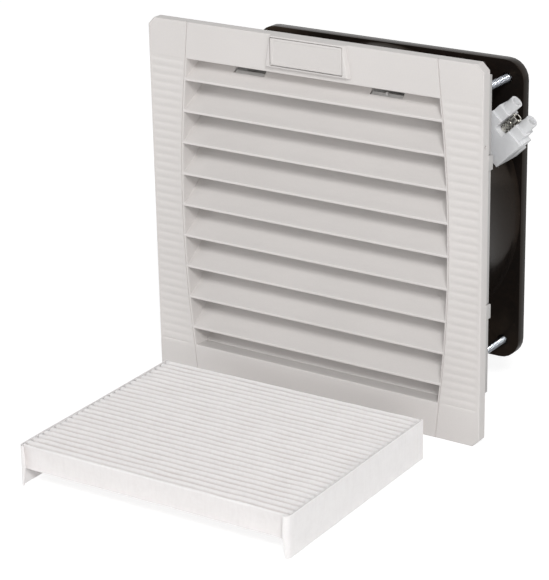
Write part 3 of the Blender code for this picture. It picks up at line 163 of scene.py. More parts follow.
# Latches, hinge and gate mark
LATCH_X = 30.0 * MM
SLOT_HALF = 6.9 * MM
SLOT_BOTTOM = 51.25 * MM
SLOT_TOP = 58.1 * MM
PAD_MIDDLE = 0.8 * MM
PAD_FOOT = 2.5 * MM
PAD_LEVEL = 53.2 * MM
PAD_DEEPENING = 0.4 * MM
PAD_SLOPE = 0.9
RIB_HALF = 0.4 * MM
RIB_LOW = Vector((LATCH_X - RIB_HALF, 0.5 * MM, 52.6 * MM))
RIB_HIGH = Vector((LATCH_X + RIB_HALF, 1.7 * MM, 55.6 * MM))
LATCH_EDGE = 0.15 * MM
MARK_Y = -3.0 * MM
MARK_Z = 42.5 * MM
MARK_RADIUS = 0.7 * MM
MARK_DEPTH = 0.9 * MM
HINGE_X = 40.0 * MM
NOTCH_HALF = 3.3 * MM
NOTCH_HEIGHT = 3.0 * MM
PIN_HALF = 4.2 * MM
PIN_RADIUS = 0.7 * MM
PIN_Y = -1.8 * MM
PIN_Z = -70.8 * MM

# Filter mat
MAT_SHIFT = (3.3 * MM, -25.8 * MM)
MAT_TURN = 1.4
MAT_TOP = FLOOR_Z + 16.0 * MM
MAT_LENGTH = 89.0 * MM
MAT_HALF = 55.8 * MM
MAT_COLUMNS = 64
PLEAT_ROWS = 10
PLEAT_POWER = 0.42
FLEECE_WALL = 0.5 * MM
CREST_SINK = 0.35 * MM
VALLEY_RISE = 0.3 * MM
# Below the top, the painted shade of the folds fades in between CREST_DEPTH and FOLD_DEPTH
CREST_DEPTH = 0.8 * MM
FOLD_DEPTH = 1.9 * MM
END_PLAY = 0.1 * MM
SEAL_RUN = 2.4 * MM
SEAL_FADE = 2.0 * MM
SEAL_LEVEL = 0.96
LEAF_ROWS = 14
LEAF_FRONT = 86.3 * MM
LEAF_BOW = 0.35 * MM
# Share of the full fleece colour on the front leaf; the rest is painted shade that darkens the lamp-facing
# leaf
LEAF_UNSHADED_SHARE = 0.8

# Side bands of the mat, folded inwards at the front
BAND_X = 56.35 * MM
BAND_WALL = 0.62 * MM
BAND_START = 0.8 * MM
BAND_END = -89.1 * MM
BAND_FOLD = 1.5 * MM
BAND_FOLD_SHARE = 0.92
BAND_TURN = math.radians(99)
BAND_REACH = 0.9 * MM
BAND_FLARE = 1.4
BAND_RIPPLE = 0.25 * MM
BAND_RIPPLES = 5
BAND_GAP = 0.25 * MM
BAND_SINK = 0.1 * MM
BAND_ROWS = 14
BAND_COLUMNS = 90

# Unevenness of the fleece: how far it strays, over what length, and where its pattern starts
LEAF_STRAY = (0.35 * MM, 11 * MM, 3.0)
LIP_STRAY = (0.25 * MM, 23 * MM, 5.0)
CREST_STRAY = (0.2 * MM, 9 * MM, 1.0)
PLEAT_STRAY = (0.16 * MM, 14 * MM, 2.0)
BAND_STRAY = (0.12 * MM, 17 * MM, 7.0)
DROOP_STRAY = (0.25 * MM, 12 * MM, 9.0)

# Finger guard; its wire is given by its radius
GUARD_WIRE = 0.8 * MM
GUARD_REACH = 56.5 * MM
GUARD_RINGS = (0.25, 0.46, 0.67, 0.885)
GUARD_LEG_Y = 54.9 * MM
GUARD_LEG_END = 71.6 * MM
GUARD_LEG_LAP = 1.2 * MM
GUARD_EYE = 2.6 * MM
FAN_HOLE = 52.4 * MM


def smooth_step(value):
    value = max(0.0, min(1.0, value))
    return value * value * (3 - 2 * value)


# Modelling helpers

def deselect():
    bpy.ops.object.select_all(action="DESELECT")


def activate(piece):
    deselect()
    piece.select_set(True)
    bpy.context.view_layer.objects.active = piece
    return piece


def newest(name):
    """The primitive that was just added, named."""
    made = bpy.context.active_object
    made.name = name
    made.data.name = name
    return activate(made)


def settle(piece):
    """Move the object's place, turn and scale into its mesh."""
    activate(piece)
    bpy.ops.object.transform_apply(location=True, rotation=True, scale=True)
    return piece


def add_box(name, low, high):
    low, high = Vector(low), Vector(high)
    deselect()
    bpy.ops.mesh.primitive_cube_add(size=1, location=(low + high) / 2, scale=high - low)
    return settle(newest(name))


def add_rod(name, start, end, radius, sides=24):
    start, end = Vector(start), Vector(end)
    run = end - start
    deselect()
    bpy.ops.mesh.primitive_cylinder_add(vertices=sides, radius=radius, depth=run.length,
                                        location=(start + end) / 2,
                                        rotation=run.to_track_quat("Z", "Y").to_euler())
    return settle(newest(name))


def choose(piece, test, domain="FACE"):
    """In edit mode, select the faces or edges whose centre and normal pass the test."""
    activate(piece)
    bpy.ops.object.mode_set(mode="EDIT")
    bpy.ops.mesh.select_mode(type=domain)
    bpy.ops.mesh.select_all(action="DESELECT")
    bpy.ops.object.mode_set(mode="OBJECT")
    mesh = piece.data
    if domain == "FACE":
        for face in mesh.polygons:
            face.select = test(face.center, face.normal)
    else:
        for edge in mesh.edges:
            ends = [mesh.vertices[i].co for i in edge.vertices]
            edge.select = test((ends[0] + ends[1]) / 2, ends[1] - ends[0])
    bpy.ops.object.mode_set(mode="EDIT")


def leave():
    bpy.ops.object.mode_set(mode="OBJECT")


def bevel_all(piece, width, segments=2, angle=30):
    change = piece.modifiers.new("soft edges", "BEVEL")
    change.width = width
    change.segments = segments
    change.limit_method = "ANGLE"
    change.angle_limit = math.radians(angle)
    change.use_clamp_overlap = True
    return apply_change(piece, change)


def apply_change(piece, change):
    activate(piece)
    bpy.ops.object.modifier_apply(modifier=change.name)
    return piece


def combine(piece, tool, operation):
    """Join, cut or trim a piece with another closed one, which is used up."""
    change = piece.modifiers.new("combine", "BOOLEAN")
    change.operation = operation
    change.solver = "EXACT"
    change.object = tool
    apply_change(piece, change)
    bpy.data.objects.remove(tool, do_unlink=True)
    return piece


def merge(pieces, name):
    """Several pieces in one object; the first keeps its place."""
    deselect()
    for piece in pieces:
        piece.select_set(True)
    bpy.context.view_layer.objects.active = pieces[0]
    bpy.ops.object.join()
    return newest(name)


def copied(piece, name):
    made = piece.copy()
    made.data = piece.data.copy()
    made.name = name
    made.data.name = name
    bpy.context.collection.objects.link(made)
    return made


def merged_copy(node, name):
    """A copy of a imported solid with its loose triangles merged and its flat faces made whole."""
    source = NODES[node]
    made = bpy.data.objects.new(name, source.data.copy())
    made.data.materials.clear()
    bpy.context.collection.objects.link(made)
    made.matrix_world = source.matrix_world.copy()
    settle(made)
    bpy.ops.object.mode_set(mode="EDIT")
    bpy.ops.mesh.select_all(action="SELECT")
    bpy.ops.mesh.remove_doubles(threshold=1e-6)
    bpy.ops.mesh.dissolve_limited(angle_limit=math.radians(0.5))
    leave()
    made.data.name = name
    return made


def smooth(piece, angle=32):
    activate(piece)
    bpy.ops.object.shade_smooth_by_angle(angle=math.radians(angle))
    return piece


def outward(piece):
    activate(piece)
    bpy.ops.object.mode_set(mode="EDIT")
    bpy.ops.mesh.select_all(action="SELECT")
    bpy.ops.mesh.normals_make_consistent(inside=False)
    leave()
    return piece


def finish_piece(piece, finish, body, *nodes):
    """Give a piece its finish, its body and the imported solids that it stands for."""
    piece.data.materials.clear()
    piece.data.materials.append(finish)
    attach(piece, body)
    if nodes:
        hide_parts(*nodes)
    return piece


def softened(node, name, width, segments=2, smoothing=32):
    piece = merged_copy(node, name)
    bevel_all(piece, width, segments)
    return smooth(piece, smoothing)


# Material helpers

def add_node(tree, kind, **values):
    made = tree.nodes.new(kind)
    for key, value in values.items():
        setattr(made, key, value)
    return made


def new_group(name, inputs, outputs):
    group = bpy.data.node_groups.new(name, "ShaderNodeTree")
    for label, kind, default in inputs:
        made = group.interface.new_socket(name=label, in_out="INPUT", socket_type=kind)
        if default is not None:
            made.default_value = default
    for label, kind in outputs:
        group.interface.new_socket(name=label, in_out="OUTPUT", socket_type=kind)
    entry = add_node(group, "NodeGroupInput")
    leaving = add_node(group, "NodeGroupOutput")
    return group, entry, leaving


def noise_into(group, vector, scale_value, detail, stretch=None):
    """A noise texture in a group, on a vector that may be stretched first."""
    if stretch:
        mapped = add_node(group, "ShaderNodeMapping")
        mapped.inputs["Scale"].default_value = stretch
        group.links.new(vector, mapped.inputs["Vector"])
        vector = mapped.outputs["Vector"]
    texture = add_node(group, "ShaderNodeTexNoise")
    texture.inputs["Detail"].default_value = detail
    group.links.new(vector, texture.inputs["Vector"])
    if isinstance(scale_value, (int, float)):
        texture.inputs["Scale"].default_value = scale_value
    else:
        group.links.new(scale_value, texture.inputs["Scale"])
    return texture.outputs["Fac"]


def blended(tree, first, second, share):
    """A mean of two values, in which the second has the given share."""
    made = add_node(tree, "ShaderNodeMix", data_type="FLOAT")
    made.inputs["Factor"].default_value = share
    tree.links.new(first, made.inputs["A"])
    tree.links.new(second, made.inputs["B"])
    return made.outputs["Result"]


def moulded_grain():
    """Spark-eroded mould texture: a fine grain over slow changes of tone."""
    group, entry, leaving = new_group(
        "moulded_grain",
        [("Vector", "NodeSocketVector", None), ("Grain", "NodeSocketFloat", 1600.0)],
        [("Tone", "NodeSocketFloat"), ("Height", "NodeSocketFloat")])
    fine = noise_into(group, entry.outputs["Vector"], entry.outputs["Grain"], 3.0)
    slow = noise_into(group, entry.outputs["Vector"], 26.0, 2.0)
    group.links.new(blended(group, slow, fine, 0.4), leaving.inputs["Tone"])
    group.links.new(fine, leaving.inputs["Height"])
    return group


def fibre_web():
    """Short fibres laid in three directions, as in needled fleece."""
    group, entry, leaving = new_group(
        "fibre_web",
        [("Vector", "NodeSocketVector", None), ("Fibre", "NodeSocketFloat", 900.0)],
        [("Web", "NodeSocketFloat"), ("Cloud", "NodeSocketFloat")])
    vector = entry.outputs["Vector"]
    one = noise_into(group, vector, entry.outputs["Fibre"], 4.0, (1.0, 0.22, 0.8))
    two = noise_into(group, vector, entry.outputs["Fibre"], 4.0, (0.25, 1.0, 0.9))
    three = noise_into(group, vector, entry.outputs["Fibre"], 4.0, (0.9, 0.8, 0.2))
    web = add_node(group, "ShaderNodeMath", operation="MAXIMUM")
    group.links.new(one, web.inputs[0])
    group.links.new(two, web.inputs[1])
    group.links.new(blended(group, web.outputs["Value"], three, 0.5), leaving.inputs["Web"])
    group.links.new(noise_into(group, vector, 130.0, 5.0), leaving.inputs["Cloud"])
    return group


def metal_grain():
    """Drawing lines along the depth of the fan with cloudy patches of the zinc layer."""
    group, entry, leaving = new_group(
        "metal_grain",
        [("Vector", "NodeSocketVector", None), ("Lines", "NodeSocketFloat", 2200.0)],
        [("Lines", "NodeSocketFloat"), ("Patches", "NodeSocketFloat")])
    vector = entry.outputs["Vector"]
    group.links.new(noise_into(group, vector, entry.outputs["Lines"], 3.0, (1.0, 0.06, 1.0)),
                    leaving.inputs["Lines"])
    group.links.new(noise_into(group, vector, 420.0, 4.0), leaving.inputs["Patches"])
    return group


GROUPS = {}


def group_node(tree, build, vector, **values):
    """Place a shared effect in a material, built on its first use."""
    if build.__name__ not in GROUPS:
        GROUPS[build.__name__] = build()
    made = add_node(tree, "ShaderNodeGroup", node_tree=GROUPS[build.__name__])
    tree.links.new(vector, made.inputs["Vector"])
    for label, value in values.items():
        made.inputs[label].default_value = value
    return made


def start_material(name, roughness, metallic=0.0, **sockets):
    made = bpy.data.materials.new(name)
    made.use_nodes = True
    tree = made.node_tree
    shader = tree.nodes["Principled BSDF"]
    shader.inputs["Roughness"].default_value = roughness
    shader.inputs["Metallic"].default_value = metallic
    for label, value in sockets.items():
        shader.inputs[label.replace("_", " ")].default_value = value
    place = add_node(tree, "ShaderNodeTexCoord").outputs["Object"]
    return made, tree, shader, place


def colour_ramp(tree, mask, stops, target):
    ramp = add_node(tree, "ShaderNodeValToRGB")
    while len(ramp.color_ramp.elements) < len(stops):
        ramp.color_ramp.elements.new(0.5)
    for element, (spot, colour) in zip(ramp.color_ramp.elements, stops):
        element.position = spot
        element.color = (*colour, 1.0)
    tree.links.new(mask, ramp.inputs["Fac"])
    tree.links.new(ramp.outputs["Color"], target)
    return ramp


def spread(tree, mask, low, high, target, from_low=0.0, from_high=1.0):
    made = add_node(tree, "ShaderNodeMapRange")
    made.inputs["From Min"].default_value = from_low
    made.inputs["From Max"].default_value = from_high
    made.inputs["To Min"].default_value = low
    made.inputs["To Max"].default_value = high
    tree.links.new(mask, made.inputs["Value"])
    tree.links.new(made.outputs["Result"], target)


def bump(tree, height, shader, strength, distance):
    made = add_node(tree, "ShaderNodeBump")
    made.inputs["Strength"].default_value = strength
    made.inputs["Distance"].default_value = distance
    tree.links.new(height, made.inputs["Height"])
    tree.links.new(made.outputs["Normal"], shader.inputs["Normal"])


def shaded(colour, share):
    return tuple(channel * share for channel in colour)


def plastic(name, colour, roughness=0.42, grain=1600.0, depth=0.02, variation=0.03, **sockets):
    made, tree, shader, place = start_material(name, roughness, **sockets)
    effect = group_node(tree, moulded_grain, place, Grain=grain)
    colour_ramp(tree, effect.outputs["Tone"],
                [(0.3, shaded(colour, 1 - variation)), (0.7, shaded(colour, 1 + variation))],
                shader.inputs["Base Color"])
    spread(tree, effect.outputs["Tone"], roughness - 0.04, roughness + 0.05,
           shader.inputs["Roughness"], 0.3, 0.7)
    bump(tree, effect.outputs["Height"], shader, 0.25, depth * MM)
    return made


def metal(name, colour, dark, roughness=0.28, lines=2200.0, depth=0.01, **sockets):
    made, tree, shader, place = start_material(name, roughness, 1.0, **sockets)
    effect = group_node(tree, metal_grain, place, Lines=lines)
    colour_ramp(tree, effect.outputs["Patches"], [(0.3, dark), (0.7, colour)],
                shader.inputs["Base Color"])
    spread(tree, effect.outputs["Lines"], roughness - 0.08, roughness + 0.12,
           shader.inputs["Roughness"], 0.3, 0.7)
    bump(tree, effect.outputs["Lines"], shader, 0.3, depth * MM)
    return made


def coated_casting(name, colour, roughness):
    """Glossy black coat over a cast surface with slight orange peel; the brown tint of its reflections and
    of its lighter tone is painted warm light.
    """
    # The brown Specular Tint is a painted reflection of warm light
    made, tree, shader, place = start_material(
        name, roughness, Specular_IOR_Level=0.14, Specular_Tint=(1.0, 0.68, 0.42, 1.0))
    effect = group_node(tree, moulded_grain, place, Grain=520.0)
    # Random tone of the coat, whose lighter stop leans brown as painted warm reflection
    colour_ramp(tree, effect.outputs["Tone"],
                [(0.3, shaded(colour, 0.8)), (0.7, (colour[0] * 1.5, colour[1] * 1.15, colour[2]))],
                shader.inputs["Base Color"])
    spread(tree, effect.outputs["Tone"], roughness - 0.05, roughness + 0.08,
           shader.inputs["Roughness"], 0.3, 0.7)
    bump(tree, effect.outputs["Height"], shader, 0.2, 0.03 * MM)
    return made


def foam(name, colour):
    made, tree, shader, place = start_material(name, 0.95)
    cells = add_node(tree, "ShaderNodeTexVoronoi")
    cells.inputs["Scale"].default_value = 2400.0
    tree.links.new(place, cells.inputs["Vector"])
    colour_ramp(tree, cells.outputs["Distance"], [(0.1, shaded(colour, 0.35)), (0.6, colour)],
                shader.inputs["Base Color"])
    bump(tree, cells.outputs["Distance"], shader, 0.8, 0.15 * MM)
    return made


def banded(name, colour, dark, pitch, direction, metallic, roughness):
    """Fine even bands with a dark colour between them: the joints of stacked laminations, the turns of wound
    wire, and the painted shade in the grooves of a screw's thread and between a clamp's rings.
    """
    made, tree, shader, place = start_material(name, roughness, metallic)
    bands = add_node(tree, "ShaderNodeTexWave", wave_type="BANDS", bands_direction=direction)
    bands.inputs["Scale"].default_value = math.tau / 20 / pitch
    bands.inputs["Distortion"].default_value = 0.3
    tree.links.new(place, bands.inputs["Vector"])
    colour_ramp(tree, bands.outputs["Fac"], [(0.15, dark), (0.7, colour)], shader.inputs["Base Color"])
    bump(tree, bands.outputs["Fac"], shader, 0.7, pitch * 0.5)
    return made


def fleece(name, colour, fold=None):
    """White needled fleece; in a folded mat the valleys of the folds and the front leaf are given a darker,
    rosy colour as painted shade.
    """
    made, tree, shader, place = start_material(
        name, 0.95, Sheen_Weight=0.2, Sheen_Roughness=0.6, Subsurface_Weight=0.3,
        Subsurface_Scale=0.0015, Subsurface_Radius=(1.0, 0.95, 0.92))
    effect = group_node(tree, fibre_web, place, Fibre=900.0)
    speck = add_node(tree, "ShaderNodeMix", data_type="RGBA", blend_type="MULTIPLY")
    speck.inputs["Factor"].default_value = 1.0
    tint, fibres, result = speck.inputs[6], speck.inputs[7], speck.outputs[2]
    colour_ramp(tree, effect.outputs["Web"], [(0.35, (0.955, 0.95, 0.95)), (0.6, (1.0, 1.0, 1.0))],
                fibres)
    if fold:
        parts = add_node(tree, "ShaderNodeSeparateXYZ")
        tree.links.new(place, parts.inputs["Vector"])
        # The fold colour is painted shade in the valleys and on the front leaf
        colour_ramp(tree, fold_shade_mask(tree, parts), [(0.0, fold), (1.0, colour)], tint)
    else:
        colour_ramp(tree, effect.outputs["Cloud"], [(0.3, shaded(colour, 0.97)), (0.7, colour)], tint)
    tree.links.new(result, shader.inputs["Base Color"])
    bump(tree, effect.outputs["Web"], shader, 0.5, 0.12 * MM)
    return made


def fold_shade_mask(tree, parts):
    """Mask of painted shade: one on the crests of the mat's folds, falling to nought in their valleys, and
    held at a given share on the front leaf.
    """
    depth = add_node(tree, "ShaderNodeMapRange")
    depth.inputs["From Min"].default_value = MAT_TOP - FOLD_DEPTH
    depth.inputs["From Max"].default_value = MAT_TOP - CREST_DEPTH
    tree.links.new(parts.outputs["Z"], depth.inputs["Value"])
    # The front leaf is held at a fixed share of painted shade
    on_leaf = add_node(tree, "ShaderNodeMath", operation="LESS_THAN")
    on_leaf.inputs[1].default_value = MAT_SHIFT[1] - LEAF_FRONT
    tree.links.new(parts.outputs["Y"], on_leaf.inputs[0])
    leaf = add_node(tree, "ShaderNodeMath", operation="MULTIPLY")
    leaf.inputs[1].default_value = LEAF_UNSHADED_SHARE
    tree.links.new(on_leaf.outputs["Value"], leaf.inputs[0])
    mask = add_node(tree, "ShaderNodeMath", operation="MAXIMUM")
    tree.links.new(depth.outputs["Result"], mask.inputs[0])
    tree.links.new(leaf.outputs["Value"], mask.inputs[1])
    return mask.outputs["Value"]


def clear_moulding(name, colour):
    """Milky plastic that lets a little light through."""
    made, tree, shader, place = start_material(
        name, 0.25, Transmission_Weight=0.1, Subsurface_Weight=0.4, Subsurface_Scale=0.003,
        Subsurface_Radius=(1.0, 1.0, 1.0), IOR=1.5)
    effect = group_node(tree, moulded_grain, place, Grain=900.0)
    colour_ramp(tree, effect.outputs["Tone"], [(0.3, shaded(colour, 0.95)), (0.7, colour)],
                shader.inputs["Base Color"])
    bump(tree, effect.outputs["Height"], shader, 0.15, 0.03 * MM)
    return made


# Settings that a user may change

class CoverSettings(bpy.types.PropertyGroup):
    colour: bpy.props.FloatVectorProperty(
        name="Plastic", description="Colour of the louvred cover", subtype="COLOR", size=3,
        default=(0.665, 0.637, 0.62), min=0.0, max=1.0)
    ripple_count: bpy.props.IntProperty(
        name="Ripples", description="Number of grooves across each side panel",
        default=36, min=4, max=60)
    ripple_depth: bpy.props.FloatProperty(
        name="Ripple depth", description="Depth of the grooves",
        default=0.24 * MM, unit="LENGTH", precision=5)
    edge: bpy.props.FloatProperty(
        name="Edge", description="Width of the softened edges",
        default=0.38 * MM, unit="LENGTH", precision=5)


class FanSettings(bpy.types.PropertyGroup):
    colour: bpy.props.FloatVectorProperty(
        name="Coat", description="Colour of the fan's coated casting", subtype="COLOR", size=3,
        default=(0.0095, 0.0085, 0.0078), min=0.0, max=1.0)
    edge: bpy.props.FloatProperty(
        name="Edge", description="Rounding of the casting's edges",
        default=0.45 * MM, unit="LENGTH", precision=5)


class MatSettings(bpy.types.PropertyGroup):
    colour: bpy.props.FloatVectorProperty(
        name="Fleece", description="Colour of the filter fleece", subtype="COLOR", size=3,
        default=(0.905, 0.88, 0.872), min=0.0, max=1.0)
    pleats: bpy.props.IntProperty(
        name="Pleats", description="Number of folds in the mat", default=27, min=5, max=60)
    pack: bpy.props.FloatProperty(
        name="Pack height", description="Height of the folded pack",
        default=9.5 * MM, unit="LENGTH", precision=5)


class StageSettings(bpy.types.PropertyGroup):
    backdrop: bpy.props.FloatVectorProperty(
        name="Backdrop", description="Colour of the floor and backdrop", subtype="COLOR", size=3,
        default=(1.0, 1.0, 1.0), min=0.0, max=1.0)
    ambient: bpy.props.FloatProperty(
        name="Ambient", description="Strength of the light from all round",
        default=0.6, min=0.0, max=2.0)
    key_power: bpy.props.FloatProperty(
        name="Key light", description="Power of the key lamp, which the others share",
        default=13.2, min=0.0, unit="POWER")


# Louvred cover

def opening_half(z):
    """Half the opening's width: its sides bulge like a barrel and run on as a crease in the bars."""
    bar = max(0.0, abs(z) - OPENING_TOP)
    z = min(OPENING_TOP, abs(z))
    return OPENING_HALF - OPENING_BULGE * (z / OPENING_TOP) ** 2 - BAR_TAPER * bar


def outer_half(z):
    return COVER_HALF - max(0.0, abs(z) - (COVER_HALF - CHAMFER))


def panel_rows(ripples):
    """Heights of the face's rows: several to each ripple, and a few in the bars above and below."""
    steps = RIPPLE_ROWS * ripples
    climb = RIPPLE_TOP + OPENING_TOP
    middle = [climb * step / steps - OPENING_TOP for step in range(steps + 1)]
    below = [-OPENING_TOP - line for line in reversed(BAR_LINES)]
    above = [OPENING_TOP + line for line in BAR_LINES]
    return below + middle + [OPENING_TOP] + above


def column_places(z):
    """How far a row's points lie from the middle: by the opening, across the panel and at the rim."""
    inner, outer = opening_half(z), outer_half(z)
    start, end = inner + FROM_OPENING[-1], outer - FROM_RIM[0]
    places = [inner + step for step in FROM_OPENING]
    places += [start + (end - start) * share for share in ACROSS_PANEL]
    return places + [outer - step for step in FROM_RIM]


def ripple_depth_at(x, z, settings):
    if not -OPENING_TOP <= z <= RIPPLE_TOP:
        return 0.0
    pitch = (RIPPLE_TOP + OPENING_TOP) / settings.ripple_count
    groove = abs(math.cos(math.pi * (RIPPLE_TOP - z) / pitch)) ** RIPPLE_POWER
    inner = smooth_step((abs(x) - opening_half(z) - RIPPLE_INNER) / RIPPLE_INNER_FADE)
    outer = smooth_step((COVER_HALF - RIPPLE_OUTER - abs(x)) / RIPPLE_OUTER_FADE)
    return settings.ripple_depth * groove * inner * outer


def cover_shell(settings):
    """The face as a rippled plate, with the rim and the duct drawn out of its back."""
    rows = panel_rows(settings.ripple_count)
    half_columns = len(column_places(0.0))
    across, up = 2 * half_columns - 1, len(rows) - 1
    deselect()
    bpy.ops.mesh.primitive_grid_add(x_subdivisions=across, y_subdivisions=up, size=1)
    piece = newest("louvred_cover")
    for vertex in piece.data.vertices:
        column = round((vertex.co.x + 0.5) * across)
        z = rows[round((vertex.co.y + 0.5) * up)]
        side = 1 if column >= half_columns else -1
        step = column - half_columns if side > 0 else half_columns - 1 - column
        x = side * column_places(z)[step]
        y = FACE_Y + ripple_depth_at(x, z, settings)
        if step > CREASE_STEPS[-1]:
            y += PANEL_STEP
        if step in CREASE_STEPS:
            y += CREASE_DEPTH
        vertex.co = (x, y, z)
    choose(piece, lambda centre, normal: abs(centre.x) < LONG_EDGE and abs(centre.z) < OPENING_TOP)
    bpy.ops.mesh.delete(type="FACE")
    bpy.ops.mesh.select_all(action="SELECT")
    bpy.ops.mesh.extrude_region_move(TRANSFORM_OT_translate={"value": (0, PLATE_BACK_Y - FACE_Y, 0)})
    leave()
    for vertex in piece.data.vertices:
        if vertex.co.y > (FACE_Y + PLATE_BACK_Y) / 2:
            vertex.co.y = PLATE_BACK_Y
    outward(piece)
    draw_out(piece, on_rim_wall, RIM_BACK_Y)
    draw_out(piece, on_duct_wall, DUCT_BACK_Y)
    for vertex in piece.data.vertices:
        if vertex.co.y > RIM_BACK_Y + MM:
            vertex.co.x -= math.copysign(DUCT_DRAFT, vertex.co.x)
    choose(piece, on_front_edge, "EDGE")
    bpy.ops.mesh.bevel(offset=settings.edge, segments=3, affect="EDGES")
    leave()
    return piece


def draw_out(piece, test, back_y):
    """Extrude the chosen part of the plate's back as far as the given depth."""
    choose(piece, lambda centre, normal: normal.y > FLAT_LIMIT and test(centre))
    bpy.ops.mesh.extrude_region_move(TRANSFORM_OT_translate={"value": (0, back_y - PLATE_BACK_Y, 0)})
    leave()


def on_rim_wall(centre):
    return (abs(centre.x) >= outer_half(centre.z) - RIM_WALL
            or abs(centre.z) >= COVER_HALF - RIM_WALL)


def on_duct_wall(centre):
    return (abs(centre.x) < opening_half(centre.z) + DUCT_WALL
            and abs(centre.z) < OPENING_TOP + DUCT_WALL and centre.y < RIM_BACK_Y - MM)


def on_front_edge(centre, run):
    """True on the outer edge of the face and on the edge of the opening."""
    if centre.y > FACE_Y + FACE_ROOM or abs(run.y) > FACE_RUN:
        return False
    x, z = abs(centre.x), abs(centre.z)
    outer = abs(x - outer_half(z)) < NEAR or abs(z - COVER_HALF) < CLOSE
    side = z < OPENING_TOP + CLOSE and abs(x - opening_half(z)) < NEAR
    bar = abs(z - OPENING_TOP) < CLOSE and x < opening_half(OPENING_TOP)
    return outer or side or bar


def slat_top(depth):
    share = depth / SLAT_DEPTH
    climb = SLAT_SLOPE * share + SLAT_CURVE * share ** 2
    return SLAT_NOSE + (SLAT_RISE - SLAT_NOSE) * climb


def cover_slat():
    """One moulded slat: a nose strip extruded back along its curve, its edges softened."""
    middle = Vector((0, FACE_Y + SLAT_SETBACK, SLAT_NOSE / 2))
    deselect()
    bpy.ops.mesh.primitive_plane_add(size=1, location=middle, rotation=(math.radians(90), 0, 0))
    piece = newest("slat")
    piece.scale = (SLAT_LENGTH, SLAT_NOSE, 1)
    settle(piece)
    bpy.ops.object.mode_set(mode="EDIT")
    bpy.ops.mesh.select_all(action="SELECT")
    thickness = SLAT_NOSE
    for share in SLAT_STATIONS:
        depth = SLAT_DEPTH * share
        wall = SLAT_NOSE + (SLAT_WALL - SLAT_NOSE) * min(1.0, share / SLAT_FULL_SHARE)
        target = Vector((0, FACE_Y + depth, slat_top(depth) - wall / 2))
        bpy.ops.mesh.extrude_region_move(TRANSFORM_OT_translate={"value": target - middle})
        bpy.ops.transform.resize(value=(1, 1, wall / thickness), center_override=target)
        middle = target
        thickness = wall
    leave()
    outward(piece)
    nose = FACE_Y + 2 * SLAT_SETBACK
    choose(piece, lambda centre, run: centre.y < nose and abs(run.x) > LONG_EDGE, "EDGE")
    bpy.ops.mesh.bevel(offset=SLAT_EDGE, segments=3, affect="EDGES")
    leave()
    return piece


def place_slats(slat):
    """The whole slats, and the back of one more that rises behind the lower bar."""
    made = []
    for number in range(SLAT_COUNT + 1):
        z = FIRST_SLAT_Z - SLAT_PITCH * number
        piece = copied(slat, "slat_" + str(number))
        middle = z + SLAT_RISE / 2
        reach = min(opening_half(z), opening_half(middle)) + SLAT_REACH
        for vertex in piece.data.vertices:
            draft = DUCT_DRAFT * (vertex.co.y - FACE_Y) / SLAT_DEPTH
            local = min(OPENING_TOP, z + vertex.co.z)
            half = min(reach, opening_half(local) + SLAT_LAP) - draft
            vertex.co.x = math.copysign(half, vertex.co.x)
            vertex.co.z += z
        made.append(piece)
    bpy.data.objects.remove(slat, do_unlink=True)
    room = add_box("room", (-ROOM_HALF, FACE_Y - MM, -OPENING_TOP - DUCT_WALL / 2),
                   (ROOM_HALF, DUCT_BACK_Y + MM, 0))
    made[-1] = combine(made[-1], room, "INTERSECT")
    return made


def badge_boss():
    """The raised trapezoid at the top, with a shallow pocket for the bare plate."""
    deselect()
    bpy.ops.mesh.primitive_cube_add(size=1)
    piece = newest("boss")
    for vertex in piece.data.vertices:
        forward = vertex.co.y < 0
        upper = vertex.co.z > 0
        slope = BOSS_SLOPE if forward else 0.0
        half = BOSS_TOP_HALF if upper else BOSS_FOOT_HALF
        x = math.copysign(half - slope, vertex.co.x)
        z = COVER_HALF - BOSS_TOP_SETBACK if upper else BOSS_FOOT_Z + slope
        vertex.co = (x, BADGE_LOW[1] if forward else FACE_Y + BOSS_SINK, z)
    bevel_all(piece, BOSS_EDGE, 3, 20)
    gap = BADGE_GAP
    pocket = add_box("pocket", (BADGE_LOW[0] - gap, BADGE_LOW[1] - MM, BADGE_LOW[2] - gap),
                     (BADGE_HIGH[0] + gap, BADGE_HIGH[1] + gap, BADGE_HIGH[2] + gap))
    bevel_all(pocket, BADGE_GAP, 2)
    return combine(piece, pocket, "DIFFERENCE")


def latch_slot(side):
    """The opening in the top slat through which a screwdriver reaches the latch."""
    x = side * LATCH_X
    return add_box("slot", (x - SLOT_HALF, 0.0, SLOT_BOTTOM), (x + SLOT_HALF, DUCT_BACK_Y + MM, SLOT_TOP))


def add_hinge(cover, side):
    """A notch in the lower rim with the pin that the base's hook holds."""
    x = side * HINGE_X
    notch = add_box("notch", (x - NOTCH_HALF, PLATE_BACK_Y, -COVER_HALF - MM),
                    (x + NOTCH_HALF, RIM_BACK_Y + MM, -COVER_HALF + NOTCH_HEIGHT))
    cover = combine(cover, notch, "DIFFERENCE")
    pin = add_rod("pin", (x - PIN_HALF, PIN_Y, PIN_Z), (x + PIN_HALF, PIN_Y, PIN_Z), PIN_RADIUS, 20)
    return combine(cover, pin, "UNION")


def gate_mark():
    """The small blind hole in the right side of the rim."""
    inner, outer = COVER_HALF - MARK_DEPTH, COVER_HALF + MM
    return add_rod("mark", (inner, MARK_Y, MARK_Z), (outer, MARK_Y, MARK_Z), MARK_RADIUS, 20)


def add_cover(settings, finish):
    cover = combine(cover_shell(settings), badge_boss(), "UNION")
    slats = place_slats(cover_slat())
    for side in (-1, 1):
        cover = add_hinge(cover, side)
        slats[0] = combine(slats[0], latch_slot(side), "DIFFERENCE")
    cover = combine(cover, gate_mark(), "DIFFERENCE")
    cover = combine(cover, merge(slats, "slats"), "UNION")
    smooth(cover, 28)
    cover.name = "louvred_cover"
    return finish_piece(cover, finish, "cover", "front_grille")


